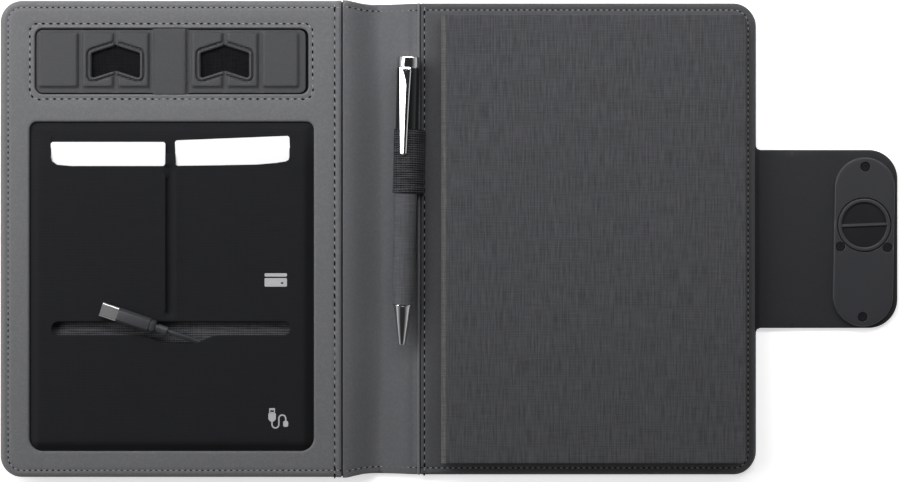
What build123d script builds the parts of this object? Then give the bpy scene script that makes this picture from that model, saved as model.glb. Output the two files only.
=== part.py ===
from build123d import *
import os
from math import cos, pi, radians, sin, sqrt, tan

# A notebook organizer that holds a power bank, lying open on its back.
# Millimetres. X runs from the front cover's free edge to the flap's tip, Y up the
# pages, Z out of the open book. The outer leather lies on Z 0.

# Widths of the panels along X, from hinge line to hinge line
back_width = 167.45
back_overhang = 1.0
spine_width = 30.7
flap_gap = 0.5
riser_length = 35.0
book_depth = 230.0
corner_radius = 11.0

# Thicknesses of the sheets, from the table upwards
leather = 1.2
board = 1.5
lining = 0.8
flap_lining = 0.9
lining_inset = 0.6
fold_clearance = 1.1
board_inset = 2.0

# Spine ends, drawn in a little more in the middle than at the folds
spine_dip = 1.6
spine_draw_left = 0.3
spine_draw_right = 1.0
spine_lining_inset = 0.6
spine_lining_corner = 1.5
back_lining_start = 4.15
back_lining_end = 0.7

# Thick front cover
shelf_depth = 2.35
frame_height = 8.1
liner = 0.5
border = 0.7
running_gap = 0.3

# Phone stand strip in its tray, from the front cover's edges inwards
tray_left_margin = 17.5
tray_right_margin = 15.5
tray_top_margin = 14.1
tray_height = 31.5
tray_corner = 3.8
tray_floor = 1.2
tray_inset = 1.6
stand_offset = -0.75
stand_centre_width = 16.8
leaf_pitch = 17.0
leaf_gap = 1.5
leaf = 1.6
leaf_low_gap = 0.8
leaf_high_gap = 0.7
left_end_gap = 1.5
right_end_gap = 4.3
notch_half_width = 11.6
notch_rise = 3.8
notch_height = 12.0
notch_margin = 6.7
notch_corner = 0.9

# Fabric pocket panel and the cards in it
window_web = 13.2
pocket_left_margin = 14.9
pocket_right_margin = 12.9
pocket_low_margin = 13.3
pad_left_gap = 4.5
pad_right_gap = 4.1
pad_top_gap = 4.5
pad_low_gap = 4.1
pad_corner = 6.8
pad_round = 0.5
backing = 1.7
backing_corner = 2.0
backing_round = 0.6
card = 0.8
card_height = 85.0
card_corner = 1.2
card_top_gap = 5.3
card_show = 11.5
card_play = 0.2
card_side_play = 1.4
card_lid_gap = 0.1
left_card_gap = 1.0
right_card_gap = 3.5
right_card_tilt = 2.3
right_card_lift = 1.9
rib_width = 4.1
rib_offset = -0.6
rib_corner = 1.6
rib_rise = 6.1
groove_width = 3.2
groove_depth = 0.3
pocket_cloth = 0.6
pocket_wall_left = 5.0
pocket_wall_right = 3.6
pocket_wall_bottom = 4.0
divider = 0.8
slot_left_gap = 6.7
slot_right_gap = 7.1
slot_drop = 1.1
slot_height = 6.2
sag_offset = 6.45
sag_half_width = 17.0
sag_depth = 5.1
sag_corner = 2.5

# Power bank
bank_lap = 1.3
bank_corner = 3.0
bank_wall = 1.2
bank_floor = 1.0
bank_split = 3.4
cell_side_gap = 5.5
cell_low_gap = 7.0
cell_height = 4.0
cell_corner = 2.0
cell_circuit_gap = 3.0
circuit_side_gap = 13.5
circuit_top_gap = 5.5
circuit_depth = 19.0
circuit_height = 1.6
component_width = 8.0
component_height = 1.8
component_places = (0.25, 0.5, 0.75)
strike_width = 16.0
strike_border = 1.1
strike_height = 0.8

# Charging cable with its plug
cable_diameter = 2.5
gland_size = (8.0, 7.0, 3.0)
gland_fit = 0.2
gland_round = 0.8
plug_turn = 161.4
plug_height = 4.6
plug_width = 7.0
plug_length = 19.2
plug_clear = 0.1
collar_length = 5.8
collar_radius = 2.1
shell_length = 8.2
shell_width = 6.9
shell_height = 2.4
shell_wall = 0.35
tongue_height = 0.7
bend_share = 0.45
cable_points = [
    (-134.9, -44.0, 0.0),
    (-129.69, -45.75, 0.0),
    (-120.3, -49.2, -4.2),
    (-110.5, -53.0, -4.65),
    (-96.4, -59.1, -4.65),
    (-87.9, -62.5, -4.65),
    (-82.6, -69.9, -4.65),
    (-82.0, -78.9, -4.65),
    (-86.2, -87.0, -4.65),
    (-94.1, -91.5, -4.65),
    (-103.2, -91.2, -4.65),
    (-116.5, -89.0, -4.65),
    (-131.5, -84.5, -4.65),
    (-147.0, -78.5, -4.65),
    (-160.0, -72.5, -4.65),
]

# Notebook on the back cover
notebook_start = 15.15
notebook_fore_margin = 6.3
notebook_end_margin = 7.5
notebook_board = 2.0
notebook_pages = 5.0
notebook_spine = 2.0
notebook_corner = 2.5
page_inset = 2.2
cover_groove = 0.8
spine_round = 1.8
board_round = 0.5

# Pen in its elastic loop, along its own axis from the loop's middle
pen_top_margin = 27.5
pen_fold_gap = 1.75
pen_tilt = -1.35
loop_clearance = 0.3
loop_cloth = 0.6
loop_length = 30.6
loop_lift = 0.3
loop_pivot_gap = 7.05
loop_pivot_lift = 0.75
loop_hem = 0.35
loop_seat_angle = -38
barrel_radius = 5.5
barrel_top = 44.5
barrel_split = 5.3
barrel_swell = 0.1
barrel_taper = -15.0
barrel_foot = -68.9
barrel_foot_radius = 5.0
barrel_bore = 4.3
cone_length = 19.1
cone_step = 0.2
cone_tip_radius = 1.9
finial_length = 5.7
finial_overhang = 0.2
finial_groove = 0.7
clip_length = 41.0
clip_top_width = 5.6
clip_tip_width = 2.9
clip_thickness = 0.9
clip_clear = 0.2
clip_post = 4.5
refill_radius = 2.9
refill_fit = 0.15
refill_room = 5.6
refill_top = 20.0
refill_shoulder = -70.3
refill_neck_radius = 1.15
refill_tip_inset = 0.5
twist_unit_length = 14.0
pen_fit = 0.1

# Closing flap with its metal lock plate
plate_y = -1.4
plate_turn = -1.0
plate_length = 81.6
plate_width = 29.0
plate_height = 1.9
plate_edge = 0.6
plate_back_inset = 0.9
plate_end_gap = 2.3
plate_fold_gap = 1.8
plate_tip_gap = 2.1
flap_corner_step = 0.5
disc_end_gap = 32.6
disc_side_wall = 1.8
disc_rim = 1.9
disc_flange = 0.5
disc_flange_height = 0.4
disc_well = 1.1
disc_bar = 1.2
disc_bar_turn = 3.4
disc_fit = 0.15
disc_lift = 0.05
disc_round = 0.3
screw_end_inset = 4.5
screw_side_inset = 3.1
screw_disc_gap = 0.1
screw_head_radius = 2.0
screw_head = 0.8
screw_radius = 0.8
screw_sink = 0.2
screw_fit = 0.15
screw_slot_length = 2.6
screw_slot_width = 0.5
screw_slot_depth = 0.4
magnet_radius = 5.0
magnet_height = 1.2
magnet_disc_gap = 1.25
magnet_end_gap = 18.8

# Hinge lines along X, worked out from the widths
front_width = back_width - back_overhang
flap_reach = plate_fold_gap + plate_width + plate_tip_gap
overall = front_width + spine_width + back_width + flap_gap + riser_length + flap_reach
front_edge = -overall / 2
left_fold = front_edge + front_width
right_fold = left_fold + spine_width
back_edge = right_fold + back_width
flap_fold = back_edge + flap_gap
wrap_fold = flap_fold + riser_length
flap_tip = wrap_fold + flap_reach

# Levels along Z, worked out from the thicknesses
frame_low = leather + board
frame_top = frame_low + frame_height
front_top = frame_top + lining
liner_top = frame_top - border
liner_low = liner_top - liner
backing_top = liner_top + backing
pocket_low = backing_top + card + 2 * card_play + card_lid_gap
pocket_top = pocket_low + pocket_cloth
leaf_top = front_top
leaf_base = leaf_top - leaf
tray_top = leaf_base - running_gap
back_top = leather + board + lining
plate_low = leather + flap_lining
plate_top = plate_low + plate_height
half_depth = book_depth / 2

# Front cover's raised part, which stops short of the spine fold, and its two windows
front_shelf_edge = left_fold - shelf_depth
tray_left = front_edge + tray_left_margin
tray_right = front_shelf_edge - tray_right_margin
tray_high = half_depth - tray_top_margin
tray_low = tray_high - tray_height
tray_window = (tray_left, tray_right, tray_low, tray_high)
window_left = front_edge + pocket_left_margin
window_right = front_shelf_edge - pocket_right_margin
window_low = -half_depth + pocket_low_margin
window_high = tray_low - window_web
pocket_window = (window_left, window_right, window_low, window_high)

# Stand strip in the tray
stand_x = (tray_left + tray_right) / 2 + stand_offset
leaf_low = tray_low + leaf_low_gap
leaf_high = tray_high - leaf_high_gap
notch_foot = leaf_low + notch_margin

# Padded pockets in the lower window, and the cards that fit them
pad_left = window_left + pad_left_gap
pad_right = window_right - pad_right_gap
pad_top = window_high - pad_top_gap
pad_bottom = window_low + pad_low_gap
pad_middle = (pad_left + pad_right) / 2
rib_left = pad_middle + rib_offset - rib_width / 2
rib_right = rib_left + rib_width
pocket_left = pad_left + pocket_wall_left
pocket_right = pad_right - pocket_wall_right
card_width = rib_left - pocket_left - card_side_play
card_top = pad_top - card_top_gap
card_bottom = card_top - card_height
slot_top = card_top - card_show
web_top = slot_top + rib_rise
left_card_x = pocket_left + left_card_gap + card_width / 2
right_card_x = rib_right + right_card_gap + card_width / 2

# Long slot in the cloth under the cards, with its sag
cable_slot_left = pad_left + slot_left_gap
cable_slot_right = pad_right - slot_right_gap
cable_slot_high = card_bottom - slot_drop
cable_slot_low = cable_slot_high - slot_height
sag_middle = (cable_slot_left + cable_slot_right) / 2 + sag_offset

# Flap, lock plate, disc and what fastens them
flap_width = plate_length + 2 * plate_end_gap
flap_corner = plate_width / 2 - flap_corner_step
plate_x = wrap_fold + plate_fold_gap + plate_width / 2
disc_y = plate_length / 2 - disc_end_gap
disc_radius = plate_width / 2 - disc_side_wall
disc_bore_radius = disc_radius + disc_flange + disc_fit
screw_seat_radius = screw_head_radius + screw_fit
side_screw_x = plate_width / 2 - screw_side_inset
side_screw_drop = sqrt((disc_bore_radius + screw_seat_radius + screw_disc_gap) ** 2 - side_screw_x**2)
side_screw_y = disc_y - side_screw_drop
end_screw_y = plate_length / 2 - screw_end_inset
screw_places = [
    (0, end_screw_y),
    (0, -end_screw_y),
    (-side_screw_x, side_screw_y),
    (side_screw_x, side_screw_y),
]
high_magnet_y = disc_y + disc_bore_radius + magnet_disc_gap + magnet_radius
low_magnet_y = -plate_length / 2 + magnet_end_gap
magnet_places = [(0, high_magnet_y), (0, low_magnet_y)]


def slab(x0, x1, y0, y1, z0, z1):
    """A block between its low and high planes."""
    corner = (Align.MIN, Align.MIN, Align.MIN)
    return Pos(x0, y0, z0) * Box(x1 - x0, y1 - y0, z1 - z0, align=corner)


def rounded(x0, x1, y0, y1, z0, z1, radius, side="all"):
    """A block whose upright edges are rounded, all of them or those of one side."""
    block = slab(x0, x1, y0, y1, z0, z1)
    edges = block.edges().filter_by(Axis.Z)
    if side == "left":
        edges = edges.sort_by(Axis.X)[:2]
    if side == "right":
        edges = edges.sort_by(Axis.X)[-2:]
    return fillet(edges, radius)


def stadium(length, width, z0, z1):
    """A plate with half-round ends, its length along Y."""
    outline = Rot(0, 0, 90) * SlotOverall(length, width)
    return Pos(0, 0, z0) * extrude(outline, z1 - z0)


def tube_z(radius, z0, z1):
    """An upright round bar."""
    return Pos(0, 0, z0) * extrude(Circle(radius), z1 - z0)


# Back cover

def back_cover_leather():
    sheet = rounded(
        right_fold, back_edge, -half_depth, half_depth, 0, leather, corner_radius, "right"
    )
    tongue = slab(back_edge - 1, flap_fold, -flap_width / 2, flap_width / 2, 0, leather)
    return sheet + tongue


back_lining_left = right_fold + back_lining_start
back_lining_right = back_edge - back_lining_end


def back_pocket(shrink, z0, z1):
    """The back cover's inner outline, drawn in by a given amount."""
    return rounded(
        back_lining_left + shrink,
        back_lining_right - shrink,
        -half_depth + lining_inset + shrink,
        half_depth - lining_inset - shrink,
        z0,
        z1,
        corner_radius - lining_inset - shrink,
        "right",
    )


def back_board():
    return back_pocket(board_inset, leather, leather + board)


def back_lining():
    return back_pocket(0, leather, back_top) - back_board()


# Notebook

notebook_left = right_fold + notebook_start
notebook_right = back_edge - notebook_fore_margin
notebook_half = half_depth - notebook_end_margin
notebook_low = back_top + notebook_board
notebook_high = notebook_low + notebook_pages
notebook_top = notebook_high + notebook_board


def notebook_leaf(x0, z0, z1):
    half = notebook_half
    return rounded(x0, notebook_right, -half, half, z0, z1, notebook_corner, "right")


def notebook_back_cover():
    half = notebook_half
    cover = notebook_leaf(notebook_left, back_top, notebook_low)
    inner = notebook_left + notebook_spine
    spine = slab(notebook_left, inner, -half, half, notebook_low - 0.5, notebook_top - 0.1)
    cover = cover + spine
    top_edge = cover.edges().filter_by(Axis.Y).group_by(Axis.Z)[-1].sort_by(Axis.X)[0]
    return fillet(top_edge, spine_round)


def notebook_page_block():
    half = notebook_half - page_inset
    return slab(
        notebook_left + notebook_spine,
        notebook_right - page_inset,
        -half,
        half,
        notebook_low,
        notebook_high - 0.1,
    )


def notebook_front_cover():
    start = notebook_left + notebook_spine + cover_groove
    cover = notebook_leaf(start, notebook_high, notebook_top)
    top_edges = cover.faces().sort_by(Axis.Z)[-1].edges()
    return fillet(top_edges, board_round)


# Spine

def spine_leather():
    middle = (left_fold + right_fold) / 2
    left_half = half_depth - spine_draw_left
    middle_half = half_depth - spine_dip
    right_half = half_depth - spine_draw_right
    top = ThreePointArc((left_fold, left_half), (middle, middle_half), (right_fold, right_half))
    right = Line((right_fold, right_half), (right_fold, -right_half))
    bottom = ThreePointArc((right_fold, -right_half), (middle, -middle_half), (left_fold, -left_half))
    left = Line((left_fold, -left_half), (left_fold, left_half))
    return extrude(make_face([top, right, bottom, left]), leather)


def spine_lining():
    half = half_depth - spine_dip - spine_lining_inset
    return rounded(
        left_fold + fold_clearance,
        right_fold - fold_clearance,
        -half,
        half,
        leather,
        leather + lining,
        spine_lining_corner,
    )


# Front cover

def front_cover_leather():
    return rounded(
        front_edge, left_fold, -half_depth, half_depth, 0, leather, corner_radius, "left"
    )


def front_outline(z0, z1):
    """The thick part of the front cover, without its windows."""
    return rounded(
        front_edge + lining_inset,
        front_shelf_edge,
        -half_depth + lining_inset,
        half_depth - lining_inset,
        z0,
        z1,
        corner_radius - lining_inset,
        "left",
    )


def strike_place():
    """Where the lock's magnets land on the front cover when the book is shut."""
    past_fold = plate_x - wrap_fold
    closed_x = flap_fold - past_fold
    return left_fold - (closed_x - right_fold)


def strike_plate():
    length = high_magnet_y - low_magnet_y + 2 * (magnet_radius + strike_border)
    middle_y = plate_y + (high_magnet_y + low_magnet_y) / 2
    plate = Box(strike_width, length, strike_height)
    return Pos(strike_place(), middle_y, leather + strike_height / 2) * plate


def front_board():
    return front_outline(leather, frame_low) - strike_plate()


def window(box, z0, z1, radius):
    x0, x1, y0, y1 = box
    return rounded(x0, x1, y0, y1, z0, z1, radius)


def grown(box, by):
    """The same box, larger all round."""
    x0, x1, y0, y1 = box
    return (x0 - by, x1 + by, y0 - by, y1 + by)


def front_frame():
    """The moulded ring and web that hold the tray and the power bank."""
    solid = front_outline(frame_low, frame_top)
    tray_bed = window(grown(tray_window, tray_inset), tray_top - tray_floor, frame_top, tray_corner)
    bank_bay = window(grown(pocket_window, bank_lap + running_gap), frame_low, frame_top, bank_corner)
    return solid - tray_bed - bank_bay


def front_lining():
    sheet = front_outline(frame_top, front_top)
    sheet -= window(tray_window, frame_top, front_top, tray_corner)
    sheet -= window(pocket_window, frame_top, front_top, tray_corner)
    return sheet


# Phone stand

def stand_tray():
    return window(grown(tray_window, tray_inset), tray_top - tray_floor, tray_top, tray_corner)


def stand_centre():
    half = stand_centre_width / 2
    return slab(stand_x - half, stand_x + half, tray_low, tray_high, tray_top, leaf_top)


def phone_notch(fold_x):
    """The arrow-shaped hole that a phone's edge drops into, astride a fold."""
    low, high = notch_foot, notch_foot + notch_height
    points = [
        (-notch_half_width, low),
        (0, low + notch_rise),
        (notch_half_width, low),
        (notch_half_width, high),
        (0, high + notch_rise),
        (-notch_half_width, high),
    ]
    outline = make_face(Polyline(*points, close=True))
    outline = fillet(outline.vertices(), notch_corner)
    return Pos(fold_x, 0, leaf_base - 1) * extrude(outline, leaf + 2)


def stand_leaves(side):
    """One wing of the stand: two notched halves and a plain end, from the centre out."""
    hinge = stand_x + side * (stand_centre_width + leaf_gap) / 2
    ridge = hinge + side * leaf_pitch
    outer = ridge + side * leaf_pitch
    far_end = tray_left + left_end_gap if side < 0 else tray_right - right_end_gap
    notch = phone_notch(ridge)
    spans = [
        (hinge + side * leaf_gap / 2, ridge - side * leaf_gap / 2),
        (ridge + side * leaf_gap / 2, outer - side * leaf_gap / 2),
        (outer + side * leaf_gap / 2, far_end),
    ]
    leaves = []
    for index, span in enumerate(spans):
        plate = slab(min(span), max(span), leaf_low, leaf_high, leaf_base, leaf_top)
        if index < 2:
            plate -= notch
        leaves.append(plate)
    return leaves


# Power bank

def bank_box_at(shrink, z0, z1):
    x0, x1, y0, y1 = grown(pocket_window, bank_lap - shrink)
    return rounded(x0, x1, y0, y1, z0, z1, bank_corner - shrink)


bank_left = window_left - bank_lap
bank_right = window_right + bank_lap
circuit_high = window_high + bank_lap - circuit_top_gap
circuit_low = circuit_high - circuit_depth
bank_inside = frame_low + bank_floor


def bank_back_shell():
    split = frame_low + bank_split
    return bank_box_at(0, frame_low, split) - bank_box_at(bank_wall, bank_inside, split)


def bank_front_shell():
    split = frame_low + bank_split
    shell = bank_box_at(0, split, liner_low)
    return shell - bank_box_at(bank_wall, split, liner_low - bank_floor)


def lipo_cell():
    return rounded(
        bank_left + cell_side_gap,
        bank_right - cell_side_gap,
        window_low - bank_lap + cell_low_gap,
        circuit_low - cell_circuit_gap,
        bank_inside,
        bank_inside + cell_height,
        cell_corner,
    )


def charger_board():
    x0 = bank_left + circuit_side_gap
    x1 = bank_right - circuit_side_gap
    top = bank_inside + circuit_height
    circuit = slab(x0, x1, circuit_low, circuit_high, bank_inside, top)
    middle = (circuit_low + circuit_high) / 2
    half = component_width / 2
    for place in component_places:
        x = x0 + place * (x1 - x0)
        circuit += slab(x - half, x + half, middle - half, middle + half, top, top + component_height)
    return circuit


# Pocket panel

def gland_block(extra, z0, z1):
    length, width, _ = gland_size
    block = slab(-length / 2 - extra, length / 2 + extra, -width / 2 - extra, width / 2 + extra, z0, z1)
    return Pos(cable_points[-1][0], cable_points[-1][1], 0) * Rot(0, 0, gland_turn) * Pos(
        -length / 2, 0, 0
    ) * block


last_run = Vector(*cable_points[-2]) - Vector(*cable_points[-1])
gland_turn = Vector(1, 0, 0).get_signed_angle(last_run, Vector(0, 0, 1))


def cable_gland():
    block = gland_block(0, liner_low, liner_low + gland_size[2] + liner)
    top = block.faces().sort_by(Axis.Z)[-1].edges()
    return fillet(top, gland_round)


def pocket_liner():
    sheet = bank_box_at(0, liner_low, liner_top)
    return sheet - gland_block(gland_fit, liner_low, liner_top)


def pad_outline(shrink, z0, z1, top, bottom_shrink):
    block = slab(pad_left + shrink, pad_right - shrink, pad_bottom + bottom_shrink, top, z0, z1)
    low_edges = block.edges().filter_by(Axis.Z).sort_by(Axis.Y)[:2]
    return fillet(low_edges, max(pad_corner - shrink, 1.0))


def pocket_border():
    """The flat black cloth around the padded pockets."""
    ring = bank_box_at(0, liner_top, frame_top)
    gap = running_gap
    return ring - pad_outline(-gap, liner_top, frame_top, pad_top + gap, -gap)


def card_backing():
    """The padded cloth that the cards lie on."""
    low = card_bottom - card_play
    pad = rounded(pad_left, pad_right, low, pad_top, liner_top, backing_top, backing_corner)
    return fillet(pad.faces().sort_by(Axis.Z)[-1].edges().sort_by(Axis.Y)[-1], backing_round)


def cable_slot_cut():
    """The long slot in the cloth, with the sag where the cable dives in."""
    z0, z1 = liner_top - 1, pocket_top + 1
    low, high = cable_slot_low, cable_slot_high
    end_round = slot_height / 2 - 0.01
    cut = rounded(cable_slot_left, cable_slot_right, low, high, z0, z1, end_round)
    sag_left = sag_middle - sag_half_width
    sag_right = sag_middle + sag_half_width
    sag = rounded(sag_left, sag_right, low - sag_depth, high - 1, z0, z1, sag_corner)
    return cut + sag


def fabric_pocket_panel():
    """The padded cloth front of the card pockets and the cable pocket."""
    wall_top = card_bottom - card_play
    top_part = slab(pad_left, pad_right, wall_top, slot_top, backing_top, pocket_top)
    low_part = pad_outline(0, liner_top, pocket_top, wall_top, 0)
    web = rounded(rib_left, rib_right, slot_top - 3, web_top, backing_top, pocket_top, rib_corner)
    panel = top_part + low_part + web
    panel = fillet(panel.faces().sort_by(Axis.Z)[-1].outer_wire().edges(), pad_round)
    for x0, x1 in ((pocket_left, rib_left), (rib_right, pocket_right)):
        panel -= slab(x0, x1, wall_top, slot_top + 10, backing_top - 1, pocket_low)
    storage_low = pad_bottom + pocket_wall_bottom
    panel -= slab(pocket_left, pocket_right, storage_low, wall_top - divider, liner_top, pocket_low)
    groove_x = (rib_left + rib_right) / 2
    panel -= slab(
        groove_x - groove_width / 2,
        groove_x + groove_width / 2,
        wall_top,
        slot_top,
        pocket_top - groove_depth,
        pocket_top + 1,
    )
    return panel - cable_slot_cut()


def card_blank():
    half = card_width / 2
    return rounded(-half, half, 0, card_height, 0, card, card_corner)


def card_level():
    return backing_top + card_play


def card_left():
    return Pos(left_card_x, card_bottom, card_level()) * card_blank()


def card_right():
    """The right card sits askew, turned about its lower corner."""
    lift = card_bottom + right_card_lift
    return Pos(right_card_x, lift, card_level()) * Rot(0, 0, right_card_tilt) * card_blank()


# Charging cable

plug_level = pocket_top + plug_clear + plug_height / 2


def on_route(point):
    x, y, drop = point
    return Vector(x, y, plug_level + drop)


def bend_radii(points):
    """The largest arc that each corner of the route allows."""
    radii = []
    for before, here, after in zip(points, points[1:], points[2:]):
        run_in = here - before
        run_out = after - here
        turn = run_in.get_angle(run_out)
        shorter = min(run_in.length, run_out.length)
        radii.append(bend_share * shorter / tan(radians(turn) / 2))
    return radii


def usb_cable():
    points = [on_route(point) for point in cable_points]
    radii = bend_radii(points)
    print("cable radii", [round(radius, 1) for radius in radii])
    path = FilletPolyline(*points, radius=radii)
    section = Plane(origin=path @ 0, z_dir=path % 0) * Circle(cable_diameter / 2)
    tube = sweep(section, path=path)
    area = pi * (cable_diameter / 2) ** 2
    print("cable length", round(path.length, 1), "volume ratio", round(tube.volume / area / path.length, 4))
    return tube


def plug_place():
    """The plug's frame: its X axis points out of the cable towards the shell's mouth."""
    x, y, _ = cable_points[0]
    return Pos(x, y, plug_level) * Rot(0, 0, plug_turn)


def usb_collar():
    collar = Rot(0, 90, 0) * extrude(Circle(collar_radius), collar_length)
    ring = Rot(0, 90, 0) * Pos(0, 0, collar_length - 1.2) * extrude(Circle(collar_radius - 0.4), 1.2)
    groove = Rot(0, 90, 0) * Pos(0, 0, collar_length - 1.2) * extrude(Circle(collar_radius + 1), 1.2)
    return plug_place() * (collar - groove + ring)


def usb_plug_body():
    half = plug_width / 2
    start = collar_length
    block = slab(
        start, start + plug_length, -half, half, -plug_height / 2, plug_height / 2
    )
    block = fillet(block.edges().filter_by(Axis.X), 1.6)
    tail = block.faces().sort_by(Axis.X)[0].edges()
    return plug_place() * chamfer(tail, 0.7)


def shell_section(shrink):
    width = shell_width - 2 * shrink
    height = shell_height - 2 * shrink
    return Plane.YZ * RectangleRounded(width, height, min(width, height) * 0.42)


def usb_plug_shell():
    start = collar_length + plug_length
    outer = extrude(shell_section(0), shell_length)
    inner = Pos(1.0, 0, 0) * extrude(shell_section(shell_wall), shell_length)
    return plug_place() * Pos(start, 0, 0) * (outer - inner)


def usb_tongue():
    start = collar_length + plug_length + 1.0
    half = shell_width / 2 - shell_wall - 0.7
    tongue = slab(0, shell_length - 2.2, -half, half, -tongue_height / 2, tongue_height / 2)
    return plug_place() * Pos(start, 0, 0) * tongue


# Pen

loop_inner = barrel_radius + loop_clearance
loop_outer = loop_inner + loop_cloth
finial_radius = barrel_radius + finial_overhang
pen_x = right_fold - pen_fold_gap
pen_y = half_depth - pen_top_margin - finial_length - barrel_top
pen_z = leather + lining + loop_lift + loop_outer
loop_pivot_x = right_fold + loop_pivot_gap
loop_pivot_z = back_top + loop_pivot_lift


def pen_place():
    """The pen's frame at rest: its Y axis runs from tip to finial."""
    return Pos(pen_x, pen_y, pen_z) * Rot(0, 0, pen_tilt)


def along_pen(profile):
    """A turned piece, from a list of radius and length points."""
    outline = make_face(Polyline(*profile, close=True))
    return pen_place() * revolve(outline, Axis.Y)


def pen_loop():
    """The elastic loop and its tail, which is sewn down beside the spine."""
    ring = Circle(loop_outer) - Circle(loop_inner)
    tail_x = loop_pivot_x - pen_x
    tail_z = loop_pivot_z - pen_z
    reach = loop_outer - 0.25
    seat_x = reach * cos(radians(loop_seat_angle))
    seat_z = reach * sin(radians(loop_seat_angle))
    tail = make_face(
        Polyline(
            (seat_x - 0.1, seat_z - loop_hem),
            (tail_x, tail_z - loop_hem),
            (tail_x, tail_z + loop_hem),
            (seat_x - 0.1, seat_z + loop_hem + 0.5),
            close=True,
        )
    )
    hem = Pos(tail_x, tail_z) * Circle(loop_hem)
    outline = Sketch() + [ring, tail - Circle(loop_inner + 0.1), hem]
    strip = extrude(Plane.XZ * outline, loop_length / 2, both=True)
    return pen_place() * strip


def pen_upper_barrel():
    top = barrel_top
    low = barrel_split + pen_fit
    return along_pen(
        [
            (barrel_bore, low),
            (barrel_radius, low),
            (barrel_radius, top),
            (barrel_bore, top),
        ]
    )


def pen_finial():
    """The end cap with its two turned rings."""
    base = barrel_top
    ring = finial_length * 0.28
    neck = finial_radius - finial_groove
    return along_pen(
        [
            (0, base),
            (neck, base),
            (neck, base + 0.6),
            (finial_radius, base + 0.6),
            (finial_radius, base + 0.6 + ring),
            (neck, base + 0.8 + ring),
            (neck, base + 1.3 + ring),
            (finial_radius, base + 1.5 + ring),
            (finial_radius, base + finial_length - 0.8),
            (finial_radius - 0.9, base + finial_length),
            (0, base + finial_length),
        ]
    )


def pen_clip():
    """The spring clip, a tapered strip that stands off the barrel on a short post."""
    top = barrel_top
    foot = top - clip_length
    half_top = clip_top_width / 2
    half_tip = clip_tip_width / 2
    outline = make_face(
        Polyline(
            (-half_top, top), (half_top, top), (half_tip, foot + 1), (half_tip - 1, foot),
            (1 - half_tip, foot), (-half_tip, foot + 1), close=True,
        )
    )
    low = loop_outer + clip_clear
    strip = Pos(0, 0, low) * extrude(outline, clip_thickness)
    strip = fillet(strip.faces().sort_by(Axis.Z)[-1].edges(), 0.35)
    post = slab(-half_top + 0.6, half_top - 0.6, top - clip_post, top, barrel_radius - 1.2, low)
    barrel = Rot(90, 0, 0) * Cylinder(barrel_radius, 4 * clip_length)
    return pen_place() * (strip + (post - barrel))


def pen_lower_barrel():
    return along_pen(
        [
            (barrel_bore, barrel_foot),
            (barrel_foot_radius, barrel_foot),
            (barrel_radius + barrel_swell, barrel_taper),
            (barrel_radius + barrel_swell, barrel_split - 1.5),
            (barrel_radius, barrel_split),
            (barrel_bore, barrel_split),
        ]
    )


def pen_cone():
    foot = barrel_foot - cone_length
    root = barrel_foot_radius - cone_step
    throat = refill_neck_radius + refill_fit
    shoulder = refill_shoulder - refill_room
    return along_pen(
        [
            (refill_radius + refill_fit, barrel_foot),
            (root, barrel_foot),
            (root, barrel_foot - 1.5),
            (cone_tip_radius + 0.7, foot + 6.0),
            (cone_tip_radius, foot + 0.6),
            (cone_tip_radius - 0.4, foot),
            (throat, foot),
            (throat, shoulder),
            (refill_radius + refill_fit, shoulder),
        ]
    )


def pen_refill():
    tip = barrel_foot - cone_length + refill_tip_inset
    return along_pen(
        [
            (0, tip),
            (0.35, tip),
            (refill_neck_radius, tip + 2.0),
            (refill_neck_radius, refill_shoulder),
            (refill_radius, refill_shoulder),
            (refill_radius, refill_top),
            (0, refill_top),
        ]
    )


def pen_twist_unit():
    return along_pen(
        [
            (0, refill_top),
            (barrel_bore, refill_top),
            (barrel_bore, refill_top + twist_unit_length),
            (0, refill_top + twist_unit_length),
        ]
    )


# Closing flap

def flap_riser():
    half = flap_width / 2
    outer = slab(flap_fold, wrap_fold, -half, half, 0, leather)
    inner = slab(
        flap_fold + fold_clearance,
        wrap_fold - fold_clearance,
        -half + lining_inset,
        half - lining_inset,
        leather,
        leather + flap_lining,
    )
    return outer + inner


def plate_place():
    return Pos(plate_x, plate_y, 0) * Rot(0, 0, plate_turn)


def flap_end():
    half = flap_width / 2
    outer = rounded(wrap_fold, flap_tip, -half, half, 0, leather, flap_corner, "right")
    inner = rounded(
        wrap_fold + fold_clearance,
        flap_tip - lining_inset,
        -half + lining_inset,
        half - lining_inset,
        leather,
        plate_low,
        flap_corner - lining_inset,
        "right",
    )
    return outer + inner - plate_place() * back_plate_outline()


def back_plate_outline():
    inset = 2 * plate_back_inset
    return stadium(plate_length - inset, plate_width - inset, leather, plate_low)


def lock_back_plate():
    plate = back_plate_outline()
    for x, y in screw_places:
        plate -= Pos(x, y, 0) * tube_z(screw_radius, leather, plate_low)
    return plate_place() * plate


def lock_front_shell():
    """The visible metal plate, with its screw seats, magnet seats and the disc's bore."""
    shell = stadium(plate_length, plate_width, plate_low, plate_top)
    shell = fillet(shell.faces().sort_by(Axis.Z)[-1].edges(), plate_edge)
    bore = tube_z(disc_radius + disc_fit, plate_low, plate_top)
    step = tube_z(disc_bore_radius, plate_low, plate_low + disc_flange_height + disc_fit)
    shell -= Pos(0, disc_y, 0) * (bore + step)
    for x, y in screw_places:
        seat = plate_top - screw_sink - screw_head
        shell -= Pos(x, y, 0) * tube_z(screw_seat_radius, seat, plate_top)
        shell -= Pos(x, y, 0) * tube_z(screw_radius, plate_low, plate_top)
    for x, y in magnet_places:
        shell -= Pos(x, y, 0) * tube_z(magnet_radius, plate_low, plate_low + magnet_height)
    return plate_place() * shell


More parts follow.
